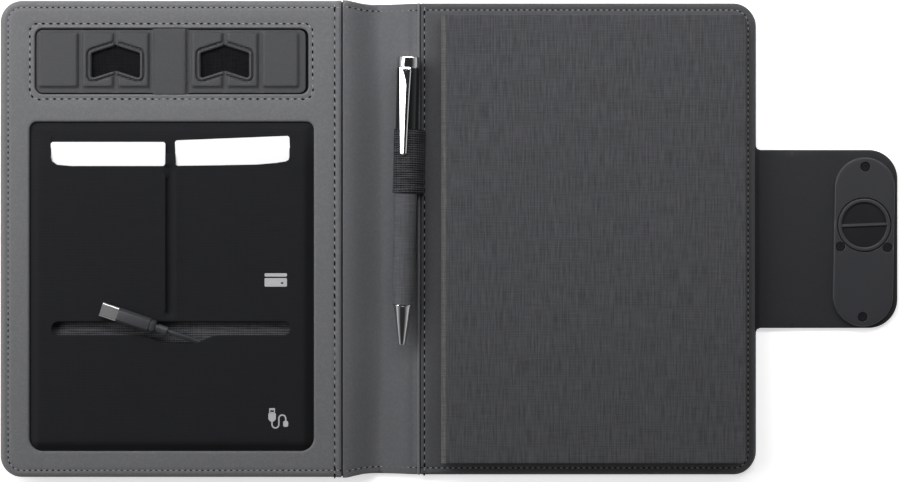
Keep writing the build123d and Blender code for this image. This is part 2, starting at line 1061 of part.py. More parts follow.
def lock_screws():
    """Four small countersunk screws with crossed slots."""
    screws = []
    head_top = plate_top - screw_sink
    for x, y in screw_places:
        head = tube_z(screw_head_radius, head_top - screw_head, head_top)
        shank = tube_z(screw_radius, leather, head_top - screw_head)
        reach, half = screw_slot_length / 2, screw_slot_width / 2
        slot = slab(-reach, reach, -half, half, head_top - screw_slot_depth, head_top)
        cross = slot + Rot(0, 0, 90) * slot
        screws.append(plate_place() * Pos(x, y, 0) * (head + shank - cross))
    return screws


def lock_magnets():
    magnets = []
    for x, y in magnet_places:
        magnet = tube_z(magnet_radius, plate_low, plate_low + magnet_height)
        magnets.append(plate_place() * Pos(x, y, 0) * magnet)
    return magnets


def turn_disc():
    """The turning disc: a raised rim round a well, with a finger bar across."""
    low = plate_low + disc_lift
    disc = tube_z(disc_radius, low, plate_top)
    disc += tube_z(disc_radius + disc_flange, low, low + disc_flange_height)
    disc = fillet(disc.faces().sort_by(Axis.Z)[-1].edges(), disc_round)
    well_radius = disc_radius - disc_rim
    well = tube_z(well_radius, plate_top - disc_well, plate_top + 1)
    half = disc_bar / 2
    bar = slab(-well_radius, well_radius, -half, half, plate_top - disc_well, plate_top - 0.1)
    bar_turned = Rot(0, 0, disc_bar_turn) * bar
    return plate_place() * Pos(0, disc_y, 0) * (disc - (well - bar_turned))


# Writing the parts

pieces = {
    "back_cover_leather": back_cover_leather(),
    "back_board": back_board(),
    "back_lining": back_lining(),
    "notebook_back_cover": notebook_back_cover(),
    "notebook_pages": notebook_page_block(),
    "notebook_front_cover": notebook_front_cover(),
    "spine_leather": spine_leather(),
    "spine_lining": spine_lining(),
    "front_cover_leather": front_cover_leather(),
    "front_board": front_board(),
    "strike_plate": strike_plate(),
    "front_frame": front_frame(),
    "front_lining": front_lining(),
    "stand_tray": stand_tray(),
    "stand_centre": stand_centre(),
    "bank_back_shell": bank_back_shell(),
    "bank_front_shell": bank_front_shell(),
    "lipo_cell": lipo_cell(),
    "charger_board": charger_board(),
    "cable_gland": cable_gland(),
    "pocket_liner": pocket_liner(),
    "pocket_border": pocket_border(),
    "card_backing": card_backing(),
    "fabric_pocket_panel": fabric_pocket_panel(),
    "card_left": card_left(),
    "card_right": card_right(),
    "usb_cable": usb_cable(),
    "usb_collar": usb_collar(),
    "usb_plug_body": usb_plug_body(),
    "usb_plug_shell": usb_plug_shell(),
    "usb_contact_tongue": usb_tongue(),
    "pen_loop": pen_loop(),
    "pen_upper_barrel": pen_upper_barrel(),
    "pen_finial": pen_finial(),
    "pen_clip": pen_clip(),
    "pen_lower_barrel": pen_lower_barrel(),
    "pen_cone": pen_cone(),
    "pen_refill": pen_refill(),
    "pen_twist_unit": pen_twist_unit(),
    "flap_riser": flap_riser(),
    "flap_end": flap_end(),
    "lock_back_plate": lock_back_plate(),
    "lock_front_shell": lock_front_shell(),
    "lock_screws": lock_screws(),
    "lock_magnets": lock_magnets(),
    "turn_disc": turn_disc(),
}

for side_name, side in (("left", -1), ("right", 1)):
    inner, outer, end = stand_leaves(side)
    pieces[f"stand_{side_name}_inner_leaf"] = inner
    pieces[f"stand_{side_name}_outer_leaf"] = outer
    pieces[f"stand_{side_name}_end_leaf"] = end

os.makedirs("parts", exist_ok=True)
for name, piece in pieces.items():
    whole = Compound(children=piece) if isinstance(piece, list) else piece
    whole.label = name
    export_step(whole, f"parts/{name}.step")
print(len(pieces), "nodes")
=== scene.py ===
"""Looks of the power bank organizer, lying open: leather covers, cloth pockets, pen, notebook, lock."""

import math

import bmesh
import bpy
import numpy as np
from mathutils import Matrix, Vector, noise
from mathutils.geometry import delaunay_2d_cdt


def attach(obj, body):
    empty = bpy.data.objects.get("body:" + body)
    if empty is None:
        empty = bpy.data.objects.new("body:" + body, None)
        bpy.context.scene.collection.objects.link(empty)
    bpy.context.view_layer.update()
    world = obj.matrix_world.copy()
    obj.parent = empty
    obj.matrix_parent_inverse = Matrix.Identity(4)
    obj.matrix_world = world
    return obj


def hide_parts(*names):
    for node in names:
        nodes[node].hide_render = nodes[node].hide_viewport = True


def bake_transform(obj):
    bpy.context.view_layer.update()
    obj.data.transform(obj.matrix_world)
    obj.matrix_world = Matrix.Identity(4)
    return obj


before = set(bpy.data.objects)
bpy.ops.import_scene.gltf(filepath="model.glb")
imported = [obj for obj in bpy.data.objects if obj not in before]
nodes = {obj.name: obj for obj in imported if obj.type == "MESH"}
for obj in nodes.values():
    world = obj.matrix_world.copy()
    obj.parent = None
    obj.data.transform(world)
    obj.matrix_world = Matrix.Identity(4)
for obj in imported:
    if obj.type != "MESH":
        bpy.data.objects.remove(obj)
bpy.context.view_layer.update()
MM = 0.001

# Lines and levels of the part, in millimetres as in its source
FRONT_EDGE, LEFT_FOLD, RIGHT_FOLD = -216.5, -50.05, -19.35
BACK_EDGE, FLAP_FOLD, WRAP_FOLD, FLAP_TIP = 148.1, 148.6, 183.6, 216.5
SPINE_SPLIT, BACK_MIDDLE, RISER_MIDDLE = -34.0, 60.0, 166.0
HALF_DEPTH = 115.0
LINING_INSET = 0.6
LEATHER = 1.2
SPINE_TOP = 2.0
BACK_TOP = 3.5
FRAME_TOP = 10.8
FRONT_TOP = 11.6
TRAY_TOP = 9.7
LEAF_BASE = 10.0
LINER_TOP = 10.1
BACKING_TOP = 11.8
POCKET_LOW, POCKET_TOP = 13.1, 13.7
PLUG_LEVEL = 16.1

# Tolerances, and room kept between the points of a mesh
TINY = 1e-9
CHUNK = 2000
WELD = 1e-5
BAND_SHARE, LINE_CLEARANCE, GRID_CLEARANCE = 0.93, 0.2, 0.3


# Lines and outlines on the plane

def divided(loop, step, closed=True):
    """The same line with points added, so that no run is longer than step."""
    points = []
    count = len(loop)
    for index in range(count if closed else count - 1):
        start = np.array(loop[index], float)
        end = np.array(loop[(index + 1) % count], float)
        parts = max(1, math.ceil(np.linalg.norm(end - start) / step))
        points += [tuple(start + (end - start) * k / parts) for k in range(parts)]
    if not closed:
        points.append(tuple(loop[-1]))
    return points


def rounded_box(x0, x1, y0, y1, radii, step=3.0):
    """Anticlockwise outline of a box; radii of its low left, low right, high right, high left corners."""
    if isinstance(radii, (int, float)):
        radii = (radii,) * 4
    corners = ((x0, y0, 180), (x1, y0, 270), (x1, y1, 0), (x0, y1, 90))
    points = []
    for (x, y, start), radius in zip(corners, radii):
        middle_x = x + radius if x == x0 else x - radius
        middle_y = y + radius if y == y0 else y - radius
        parts = max(3, round(radius * 2.2))
        for k in range(parts + 1):
            angle = math.radians(start + 90 * k / parts)
            points.append((middle_x + radius * math.cos(angle), middle_y + radius * math.sin(angle)))
    return divided(points, step)


def rounded_corners(corners, radius):
    """A polygon with each corner turned into a small arc."""
    points, parts = [], 4
    count = len(corners)
    for index in range(count):
        here = Vector(corners[index])
        before = (Vector(corners[index - 1]) - here).normalized()
        after = (Vector(corners[(index + 1) % count]) - here).normalized()
        half = before.angle(after) / 2
        reach = radius / math.tan(half)
        middle = here + (before + after).normalized() * (radius / math.sin(half))
        start = here + before * reach - middle
        end = here + after * reach - middle
        for k in range(parts + 1):
            arm = start.lerp(end, k / parts).normalized() * radius
            points.append(tuple(middle + arm))
    return points


def straight(*points, step=3.0):
    """An open line through points, divided evenly."""
    return divided(list(points), step, closed=False)


def gap_to(points, line, closed=True):
    """Distance of every point to a line."""
    line = np.asarray(line, float)
    ends = np.roll(line, -1, 0) if closed else line[1:]
    starts = line if closed else line[:-1]
    runs = ends - starts
    squared = np.maximum((runs**2).sum(1), TINY**2)
    gaps = np.empty(len(points))
    for low in range(0, len(points), CHUNK):
        part = points[low : low + CHUNK]
        offset = part[:, None] - starts[None]
        share = np.clip((offset * runs).sum(2) / squared, 0, 1)
        gaps[low : low + CHUNK] = np.sqrt(((offset - share[..., None] * runs) ** 2).sum(2).min(1))
    return gaps


def gap_at(x, y, line, closed=True):
    return gap_to(np.column_stack([x, y]), line, closed)


def gap_over(points, loops):
    """Distance to the nearest of several outlines."""
    return np.min([gap_to(points, loop) for loop in loops], axis=0)


def within(points, loop):
    """Which points lie inside a closed outline."""
    loop = np.asarray(loop, float)
    found = np.zeros(len(points), bool)
    for (ax, ay), (bx, by) in zip(loop, np.roll(loop, -1, 0)):
        if ay == by:
            continue
        crosses = (ay > points[:, 1]) != (by > points[:, 1])
        found ^= crosses & (points[:, 0] < (bx - ax) * (points[:, 1] - ay) / (by - ay) + ax)
    return found


def between_edges(points, loops):
    """Which points lie inside the first outline and outside the others."""
    found = within(points, loops[0])
    for hole in loops[1:]:
        found &= ~within(points, hole)
    return found


def sideways(line, closed=True):
    """Unit vectors square to a line, at its points."""
    line = np.asarray(line, float)
    along = np.roll(line, -1, 0) - np.roll(line, 1, 0) if closed else np.gradient(line, axis=0)
    along /= np.maximum(np.linalg.norm(along, axis=1, keepdims=True), TINY)
    return np.stack([-along[:, 1], along[:, 0]], 1)


def both_sides(line, distances, closed):
    """The points of a line moved to both sides, for each distance."""
    line, side = np.asarray(line, float), sideways(line, closed)
    return [(gap, line + side * gap * sign) for gap in distances for sign in ((1, -1) if gap else (1,))]


def ease(value, low, high):
    share = np.clip((value - low) / (high - low), 0, 1)
    return share * share * (3 - 2 * share)


def bell(value, middle, width):
    return np.exp(-(((value - middle) / width) ** 2))


def rounding(gap, radius):
    """How far a rounded edge lies below the flat, at that gap from the edge."""
    left = radius - np.clip(gap, 0, radius)
    return radius - np.sqrt(np.maximum(radius**2 - left**2, 0))


def edge_bands(radius):
    """Distances inside an edge at which a rounding needs points."""
    return [radius * share for share in (0.04, 0.18, 0.42, 0.72, 1.0)]


def box_gap(x, y, x0, x1, y0, y1, radius):
    """Distance inside a box with round corners, negative outside it."""
    across = np.abs(x - (x0 + x1) / 2) - (x1 - x0) / 2 + radius
    up = np.abs(y - (y0 + y1) / 2) - (y1 - y0) / 2 + radius
    outside = np.hypot(np.maximum(across, 0), np.maximum(up, 0))
    return radius - outside - np.minimum(np.maximum(across, up), 0)


def undulation(x, y, size, amount):
    """Slow unevenness of a stretched skin."""
    return np.array([noise.noise(Vector((a / size, b / size, 0.3))) for a, b in zip(x, y)]) * amount


def seam_groove(x, y, line, closed=False, depth=0.3, width=0.8):
    """How far a seam draws the skin down."""
    return depth * bell(gap_at(x, y, line, closed), 0, width)


# Meshes, from points in millimetres

def placed_at(spot, degrees, axis):
    """A turned frame at a spot."""
    return Matrix.Translation(spot) @ Matrix.Rotation(math.radians(degrees), 4, axis)


def linked(name, data):
    made = bpy.data.objects.new(name, data)
    bpy.context.scene.collection.objects.link(made)
    return made


def piece_from(name, points, faces, material, smooth_angle=40):
    mesh = bpy.data.meshes.new(name)
    mesh.from_pydata([tuple(np.array(p, float) * MM) for p in points], [], faces)
    mesh.validate()
    shape = bmesh.new()
    shape.from_mesh(mesh)
    bmesh.ops.recalc_face_normals(shape, faces=shape.faces)
    shape.to_mesh(mesh)
    shape.free()
    mesh.shade_smooth()
    mesh.set_sharp_from_angle(angle=math.radians(smooth_angle))
    for part in material if isinstance(material, list) else [material]:
        mesh.materials.append(part)
    return linked(name, mesh)


def moulded_plate(name, outline, top, bottom, material, bands, pitch, holes=(), lines=(), line_bands=(0,)):
    """A closed sheet over an outline with holes.

    top and bottom give heights from x, y and the gaps to the outline and each hole; bottom may be one
    height. Points are set inside every edge at the bands' distances, beside the lines, and between
    them at the pitch.
    """
    loops = [outline, *holes]
    placed = [np.asarray(loop, float) for loop in loops]
    deepest = max(bands)
    for loop in loops:
        for gap, extra in both_sides(loop, bands, True):
            placed.append(extra[gap_over(extra, loops) > gap * BAND_SHARE])
    for line in lines:
        for _, extra in both_sides(line, line_bands, False):
            placed.append(extra[gap_over(extra, loops) > deepest + LINE_CLEARANCE])
    low, high = np.min(outline, 0), np.max(outline, 0)
    across = np.arange(low[0] + pitch / 2, high[0], pitch)
    up = np.arange(low[1] + pitch / 2, high[1], pitch)
    grid = np.array([(x + (k % 2) * pitch / 2, y) for k, y in enumerate(up) for x in across])
    clear = gap_over(grid, loops) > deepest + pitch * GRID_CLEARANCE
    for line in lines:
        clear &= gap_to(grid, line, closed=False) > max(line_bands) + pitch * GRID_CLEARANCE
    placed.append(grid[clear])
    flat = np.concatenate(placed)
    inside = between_edges(flat, loops)
    inside[: sum(len(loop) for loop in loops)] = True
    edges, start = [], 0
    for loop in loops:
        edges += [(start + k, start + (k + 1) % len(loop)) for k in range(len(loop))]
        start += len(loop)
    found = delaunay_2d_cdt([Vector(p) for p in flat[inside]], edges, [], 0, WELD)
    flat = np.array([tuple(p) for p in found[0]])
    triangles = np.array([face for face in found[2] if len(face) == 3])
    triangles = triangles[between_edges(flat[triangles].mean(1), loops)]
    gaps = [gap_to(flat, loop) for loop in loops]
    x, y = flat[:, 0], flat[:, 1]
    under = bottom(x, y, gaps) if callable(bottom) else bottom
    upper = np.column_stack([flat, top(x, y, gaps)])
    lower = np.column_stack([flat, np.broadcast_to(under, len(flat))])
    total = len(flat)
    faces = [tuple(face) for face in triangles]
    faces += [(c + total, b + total, a + total) for a, b, c in triangles]
    directed = {(a, b) for face in triangles for a, b in zip(face, np.roll(face, -1))}
    faces += [(b, a, a + total, b + total) for a, b in directed if (b, a) not in directed]
    return piece_from(name, np.concatenate([upper, lower]), faces, material)


def ring_faces(count, sides, first=0):
    """Faces between rings of points that follow one another."""
    faces = []
    for ring in range(count):
        for k in range(sides):
            a, b = first + ring * sides + k, first + ring * sides + (k + 1) % sides
            faces.append((a, b, b + sides, a + sides))
    return faces


def swept_rings(name, rings, material, smooth_angle=35, hollow=False):
    """A skin over rings with as many points each; a hollow one joins its last ring to its first."""
    points = [point for ring in rings for point in ring]
    sides, total = len(rings[0]), len(points)
    if hollow:
        faces = [tuple(corner % total for corner in face) for face in ring_faces(len(rings), sides)]
    else:
        faces = ring_faces(len(rings) - 1, sides)
        faces.append(tuple(range(sides))[::-1])
        faces.append(tuple(range(total - sides, total)))
    return piece_from(name, points, faces, material, smooth_angle)


def dressed(piece, body, *replaced, slot=None):
    """Lets a finished piece ride a body in the place of nodes of the part."""
    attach(piece, body)
    if replaced:
        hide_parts(*replaced)


# Stitches

BEAD_SIDES, BEAD_RINGS, LOOK_AHEAD, SWAY = 6, 5, 0.2, 6


def evenly(line, pitch, closed):
    """Places along a line at an even pitch, each with its direction."""
    line = np.asarray(line, float)
    if closed:
        line = np.concatenate([line, line[:1]])
    runs = np.linalg.norm(np.diff(line, axis=0), axis=1)
    far = np.concatenate([[0], np.cumsum(runs)])
    count = max(1, round(far[-1] / pitch))
    at = (np.arange(count) + 0.5) * far[-1] / count
    places, ahead, back = (
        np.stack([np.interp(at + step, far, line[:, k]) for k in (0, 1)], 1)
        for step in (0, LOOK_AHEAD, -LOOK_AHEAD)
    )
    along = ahead - back
    return places, along / np.maximum(np.linalg.norm(along, axis=1, keepdims=True), TINY)


def bead(middle, direction, half_length, half_width, height, base):
    """Points of a small spindle lying along a direction."""
    side = np.array([-direction[1], direction[0]])
    points = []
    for ring in range(BEAD_RINGS):
        angle = math.pi * ring / (BEAD_RINGS - 1)
        swell = max(math.sin(angle), 0.12)
        centre = middle - direction * half_length * math.cos(angle)
        for k in range(BEAD_SIDES):
            turn = math.tau * k / BEAD_SIDES
            spot = centre + side * half_width * swell * math.cos(turn)
            points.append((spot[0], spot[1], base + height * swell * math.sin(turn)))
    return points


def stitch_row(name, line, level, pitch, thread, hole, slant=0.0, closed=False):
    """A seam of dark marks at the needle holes, painted shade in place of real holes, with the thread between
    them; sizes are half lengths and half widths.
    """
    points, faces, kinds = [], [], []
    bead_faces = ring_faces(BEAD_RINGS - 1, BEAD_SIDES)
    last = (BEAD_RINGS - 1) * BEAD_SIDES
    bead_faces += [tuple(range(BEAD_SIDES))[::-1], tuple(range(last, last + BEAD_SIDES))]
    for number, (middle, direction) in enumerate(zip(*evenly(line, pitch, closed))):
        base = level(middle[0], middle[1]) if callable(level) else level
        lean = math.radians(slant + SWAY * math.sin(number * 2.4))
        turn = np.array([[math.cos(lean), -math.sin(lean)], [math.sin(lean), math.cos(lean)]])
        tilted = turn @ direction
        beads = (
            bead(middle, tilted, *thread, thread[1] * 0.9, base + 0.05),
            bead(middle + direction * pitch / 2, tilted, *hole, 0.1, base + 0.02),
        )
        for kind, spindle in enumerate(beads):
            faces += [tuple(corner + len(points) for corner in face) for face in bead_faces]
            kinds += [kind] * len(bead_faces)
            points += spindle
    # The hole marks take the near-black: painted shade of the needle holes.
    row = piece_from(name, points, faces, [SEWING_THREAD, HOLE_SHADE_AND_DARK_PRINT], 60)
    row.data.polygons.foreach_set("material_index", kinds)
    return row


# Shader groups

def add(tree, kind, inputs=None, **settings):
    """A node with its settings; inputs are values or other nodes' sockets."""
    made = tree.nodes.new("ShaderNode" + kind)
    for key, value in settings.items():
        setattr(made, key, value)
    for key, value in (inputs or {}).items():
        if isinstance(value, bpy.types.NodeSocket):
            tree.links.new(value, made.inputs[key])
        else:
            made.inputs[key].default_value = value
    return made


def maths(tree, operation, first, second=0.0):
    return add(tree, "Math", {0: first, 1: second}, operation=operation).outputs[0]


def mixed(tree, share, first, second):
    """Two colours mixed by a mask."""
    inputs = {0: share, 6: first, 7: second}
    return add(tree, "Mix", inputs, data_type="RGBA").outputs[2]


def ramped(tree, value, low, high, to_low=0.0, to_high=1.0):
    inputs = {"Value": value, "From Min": low, "From Max": high, "To Min": to_low, "To Max": to_high}
    return add(tree, "MapRange", inputs).outputs[0]


def shader_group(name, inputs, outputs):
    """An empty group; inputs are label and start value, outputs are label and kind."""
    group = bpy.data.node_groups.new(name, "ShaderNodeTree")
    kinds = {"value": "NodeSocketFloat", "colour": "NodeSocketColor"}
    for label, start in inputs:
        kind = "colour" if isinstance(start, tuple) else "value"
        socket = group.interface.new_socket(name=label, in_out="INPUT", socket_type=kinds[kind])
        socket.default_value = start
    for label, kind in outputs:
        group.interface.new_socket(name=label, in_out="OUTPUT", socket_type=kinds[kind])
    return group, group.nodes.new("NodeGroupInput").outputs, group.nodes.new("NodeGroupOutput").inputs


def grey(level):
    return (level, level, level, 1.0)


def object_place(group):
    return add(group, "TexCoord").outputs["Object"]


def cloud(group, scale, detail):
    inputs = {"Vector": object_place(group), "Scale": scale, "Detail": detail}
    return add(group, "TexNoise", inputs).outputs[0]


def swing(group, value, amount):
    """Turns a value about a half into one about nought."""
    return maths(group, "MULTIPLY", maths(group, "SUBTRACT", value, 0.5), amount)


def make_tone_drift():
    """Slow changes of tone over a surface."""
    inputs = [("Colour", grey(0.5)), ("Amount", 0.1), ("Size", 0.03)]
    group, given, put = shader_group("tone_drift", inputs, [("Colour", "colour")])
    patches = cloud(group, maths(group, "DIVIDE", 1.0, given["Size"]), 4.0)
    level = maths(group, "ADD", swing(group, patches, given["Amount"]), 1.0)
    tinted = add(group, "HueSaturation", {"Value": level, "Color": given["Colour"]})
    group.links.new(tinted.outputs[0], put["Colour"])
    return group


def make_hide_grain():
    """Fine pebbled grain of pressed leather."""
    outputs = [("Height", "value"), ("Pits", "value")]
    group, given, put = shader_group("hide_grain", [("Size", 0.0006)], outputs)
    scale = maths(group, "DIVIDE", 1.0, given["Size"])
    cells = add(group, "TexVoronoi", {"Vector": object_place(group), "Scale": scale}, feature="SMOOTH_F1")
    pores = cloud(group, maths(group, "MULTIPLY", scale, 0.45), 5.0)
    height = maths(group, "SUBTRACT", pores, maths(group, "MULTIPLY", cells.outputs["Distance"], 0.8))
    group.links.new(height, put["Height"])
    group.links.new(ramped(group, height, 0.05, 0.45), put["Pits"])
    return group


def make_woven_threads():
    """Two crossing sets of slubby threads, with a height and a tone."""
    inputs = [("Warp", 0.0008), ("Weft", 0.0008), ("Slub", 0.5), ("Warp share", 0.5), ("Evenness", 0.25)]
    group, given, put = shader_group("woven_threads", inputs, [("Height", "value"), ("Tone", "value")])
    axes = add(group, "SeparateXYZ", {0: object_place(group)}).outputs
    strands = []
    for axis, other, pitch, seed in (("X", "Y", given["Warp"], 3.0), ("Y", "X", given["Weft"], 11.0)):
        counted = maths(group, "DIVIDE", axes[axis], pitch)
        drawn = maths(group, "MULTIPLY", axes[other], 90.0)
        stretched = add(group, "CombineXYZ", {0: counted, 1: drawn, 2: seed}).outputs[0]
        slubs = add(group, "TexNoise", {"Vector": stretched, "Scale": 1.0, "Detail": 2.0}).outputs[0]
        wave = maths(group, "SINE", maths(group, "MULTIPLY", counted, math.tau))
        wave = maths(group, "MULTIPLY", wave, given["Evenness"])
        uneven = maths(group, "ADD", wave, swing(group, slubs, given["Slub"]))
        strands.append(maths(group, "ADD", uneven, 0.5))
    crossed = add(group, "Mix", {0: given["Warp share"], 2: strands[1], 3: strands[0]})
    group.links.new(crossed.outputs[0], put["Tone"])
    group.links.new(maths(group, "MAXIMUM", strands[0], strands[1]), put["Height"])
    return group


def make_rub_and_edge_highlight():
    """Lighter colour at sharp edges: rubbed wear on leather and most finishes, and a painted highlight on the
    lock's bevels and the screws' cross edges.
    """
    inputs = [("Colour", grey(0.5)), ("Rubbed and lit", grey(0.6)), ("Amount", 0.4)]
    group, given, put = shader_group("rub_and_edge_highlight", inputs, [("Colour", "colour")])
    sharp = add(group, "NewGeometry").outputs["Pointiness"]
    amount = maths(group, "MULTIPLY", ramped(group, sharp, 0.52, 0.6), given["Amount"])
    group.links.new(mixed(group, amount, given["Colour"], given["Rubbed and lit"]), put["Colour"])
    return group


def make_fine_speckle():
    """Tiny grains of lacquer, print or moulded plastic."""
    inputs = [("Size", 0.0002), ("Roughness", 0.4), ("Spread", 0.1)]
    group, given, put = shader_group("fine_speckle", inputs, [("Grain", "value"), ("Roughness", "value")])
    spread = swing(group, cloud(group, 60.0, 3.0), given["Spread"])
    group.links.new(cloud(group, maths(group, "DIVIDE", 1.0, given["Size"]), 3.0), put["Grain"])
    group.links.new(maths(group, "ADD", spread, given["Roughness"]), put["Roughness"])
    return group


TONE_DRIFT = make_tone_drift()
HIDE_GRAIN = make_hide_grain()
WOVEN_THREADS = make_woven_threads()
RUB_AND_EDGE_HIGHLIGHT = make_rub_and_edge_highlight()
FINE_SPECKLE = make_fine_speckle()


# Materials, with colours as screen values and sizes in millimetres

def shade(colour, factor=1.0):
    """A screen colour from 0 to 255 as a shader's colour, made lighter or darker by a factor."""
    channels = [value / 255 for value in colour]
    linear = [c / 12.92 if c <= 0.04045 else ((c + 0.055) / 1.055) ** 2.4 for c in channels]
    return tuple(min(1.0, c * factor) for c in linear) + (1.0,)


def blank_material(name, roughness, specular, metallic=0.0):
    material = bpy.data.materials.new(name)
    material.use_nodes = True
    shader = material.node_tree.nodes["Principled BSDF"]
    shader.inputs["Roughness"].default_value = roughness
    shader.inputs["Metallic"].default_value = metallic
    shader.inputs["Specular IOR Level"].default_value = specular
    return material, material.node_tree, shader


def grouped(tree, group, inputs):
    return add(tree, "Group", inputs, node_tree=group).outputs


def surfaced(tree, shader, colour, height, depth):
    """Puts colour and relief on a material's shader."""
    bump = add(tree, "Bump", {"Height": height, "Distance": depth * MM})
    tree.links.new(bump.outputs[0], shader.inputs["Normal"])
    tree.links.new(colour, shader.inputs["Base Color"])


def leather(name, colour, size=0.6, depth=0.06, roughness=0.62):
    material, tree, shader = blank_material(name, roughness, 0.3)
    grain = grouped(tree, HIDE_GRAIN, {"Size": size * MM})
    drift = grouped(tree, TONE_DRIFT, {"Colour": shade(colour), "Amount": 0.12, "Size": 0.035})
    pitted = mixed(tree, grain["Pits"], shade(colour, 0.84), drift[0])
    worn_and_lit = grouped(tree, RUB_AND_EDGE_HIGHLIGHT, {"Colour": pitted, "Rubbed and lit": shade(colour, 1.6), "Amount": 0.2})
    surfaced(tree, shader, worn_and_lit[0], grain["Height"], depth)
    return material


def woven(name, dark, light, warp, weft, slub, warp_share=0.5, depth=0.1, evenness=0.25):
    material, tree, shader = blank_material(name, 0.85, 0.15)
    inputs = {"Warp": warp * MM, "Weft": weft * MM, "Slub": slub, "Warp share": warp_share}
    weave = grouped(tree, WOVEN_THREADS, {**inputs, "Evenness": evenness})
    cloth = mixed(tree, ramped(tree, weave["Tone"], 0.2, 0.8), shade(dark), shade(light))
    drift = grouped(tree, TONE_DRIFT, {"Colour": cloth, "Amount": 0.1, "Size": 0.03})
    surfaced(tree, shader, drift[0], weave["Height"], depth)
    return material


def speckled(
    name, colour, size=0.2, roughness=0.4, spread=0.15, depth=0.01, metallic=0.0, rub_and_highlight=0.3, specular=0.5,
    contrast=1.3,
):
    material, tree, shader = blank_material(name, roughness, specular, metallic)
    grain = grouped(tree, FINE_SPECKLE, {"Size": size * MM, "Roughness": roughness, "Spread": spread})
    tone = mixed(tree, grain["Grain"], shade(colour), shade(colour, contrast))
    # Lighter edges: rubbed wear, and a painted highlight where the amount is high, on the lock and the
    # screws.
    worn_and_lit = grouped(tree, RUB_AND_EDGE_HIGHLIGHT, {"Colour": tone, "Rubbed and lit": shade(colour, 1.8), "Amount": rub_and_highlight})
    tree.links.new(grain["Roughness"], shader.inputs["Roughness"])
    surfaced(tree, shader, worn_and_lit[0], grain["Grain"], depth)
    return material


OUTER_LEATHER = leather("outer_leather", (92, 93, 95), depth=0.08)
LINING_LEATHER = leather("lining_leather", (110, 111, 113), depth=0.04, roughness=0.55)
# A slightly darker copy of the lining leather for the spine: painted shade on its low, sloping leather.
SHADED_SPINE_LEATHER = leather("spine_leather", (104, 105, 108), depth=0.04, roughness=0.55)
# A darker copy of the lining leather for the back cover's skin: painted shade for the trough between the pen
# and the notebook.
SHADED_BACK_LEATHER = leather("shaded_back_leather", (79, 80, 82), depth=0.04, roughness=0.6)
STRIP_LEATHER = leather("strip_leather", (73, 74, 76), size=0.4, depth=0.03)
FLAP_LEATHER = leather("flap_leather", (46, 47, 49), size=0.4, depth=0.03, roughness=0.5)
TRAY_CLOTH = woven("tray_cloth", (1, 1, 2), (22, 23, 25), 0.7, 0.7, 1.6)
POCKET_CLOTH = woven("pocket_cloth", (23, 24, 26), (33, 34, 36), 1.1, 0.7, 0.5, warp_share=0.2, depth=0.05)
SLOT_WEAVE = woven("slot_weave", (28, 29, 30), (92, 93, 96), 1.1, 1.1, 1.0, warp_share=0.3, depth=0.2)
NOTEBOOK_LINEN = woven(
    "notebook_linen", (52, 53, 55), (88, 89, 92), 0.7, 0.8, 0.95, warp_share=0.72, evenness=0.16
)
# A lighter copy of the notebook's linen for its rounded spine: painted light on the side that faces the lamp.
LIT_SPINE_LINEN = woven("lit_spine_linen", (62, 63, 63), (104, 105, 104), 0.7, 0.8, 0.95, evenness=0.16)
LOOP_ELASTIC = woven("loop_elastic", (14, 14, 16), (78, 79, 82), 1.1, 1.07, 1.1, warp_share=0.3, depth=0.3)
BARREL_CLOTH = woven("barrel_cloth", (62, 63, 66), (100, 101, 104), 0.6, 0.6, 1.0, evenness=0.2)
PAGE_PAPER = speckled("page_paper", (226, 222, 210), size=0.6, roughness=0.9, rub_and_highlight=0.0, contrast=1.05)
CARD_PAPER = speckled("card_paper", (252, 252, 254), size=0.6, roughness=0.75, rub_and_highlight=0.0, contrast=1.02)
SEWING_THREAD = speckled("sewing_thread", (128, 129, 132), size=0.3, roughness=0.8)
# Near-black marks at the needle holes: painted shade in place of the dark inside each hole; the same black
# serves the pictograms' dark print.
HOLE_SHADE_AND_DARK_PRINT = speckled("hole_shade_and_dark_print", (8, 8, 9), size=0.3, roughness=0.95, rub_and_highlight=0.0, specular=0.1)
PEN_BLACK = speckled("pen_black", (24, 27, 28), size=0.4, roughness=0.2, spread=0.04, rub_and_highlight=0.1)
BRIGHT_CHROME = speckled(
    "bright_chrome", (225, 226, 228), size=0.4, roughness=0.06, spread=0.03, depth=0.002, metallic=1.0,
    rub_and_highlight=0.0, contrast=1.05,
)
PLUG_METAL = speckled(
    "plug_metal", (206, 206, 207), size=0.25, roughness=0.35, spread=0.08, metallic=1.0, rub_and_highlight=0.2,
    contrast=1.05,
)
PLUG_PLASTIC = speckled("plug_plastic", (48, 50, 53), roughness=0.45)
CABLE_JACKET = speckled("cable_jacket", (44, 46, 49), roughness=0.5)
# Strong edge lightening on the lock's lacquer: a painted highlight where its bevels catch the lamp.
LOCK_LACQUER = speckled(
    "lock_lacquer", (49, 50, 53), size=0.25, roughness=0.42, spread=0.1, depth=0.015, rub_and_highlight=0.9
)
WELL_LACQUER = speckled("well_lacquer", (19, 20, 24), size=0.3, roughness=0.42)
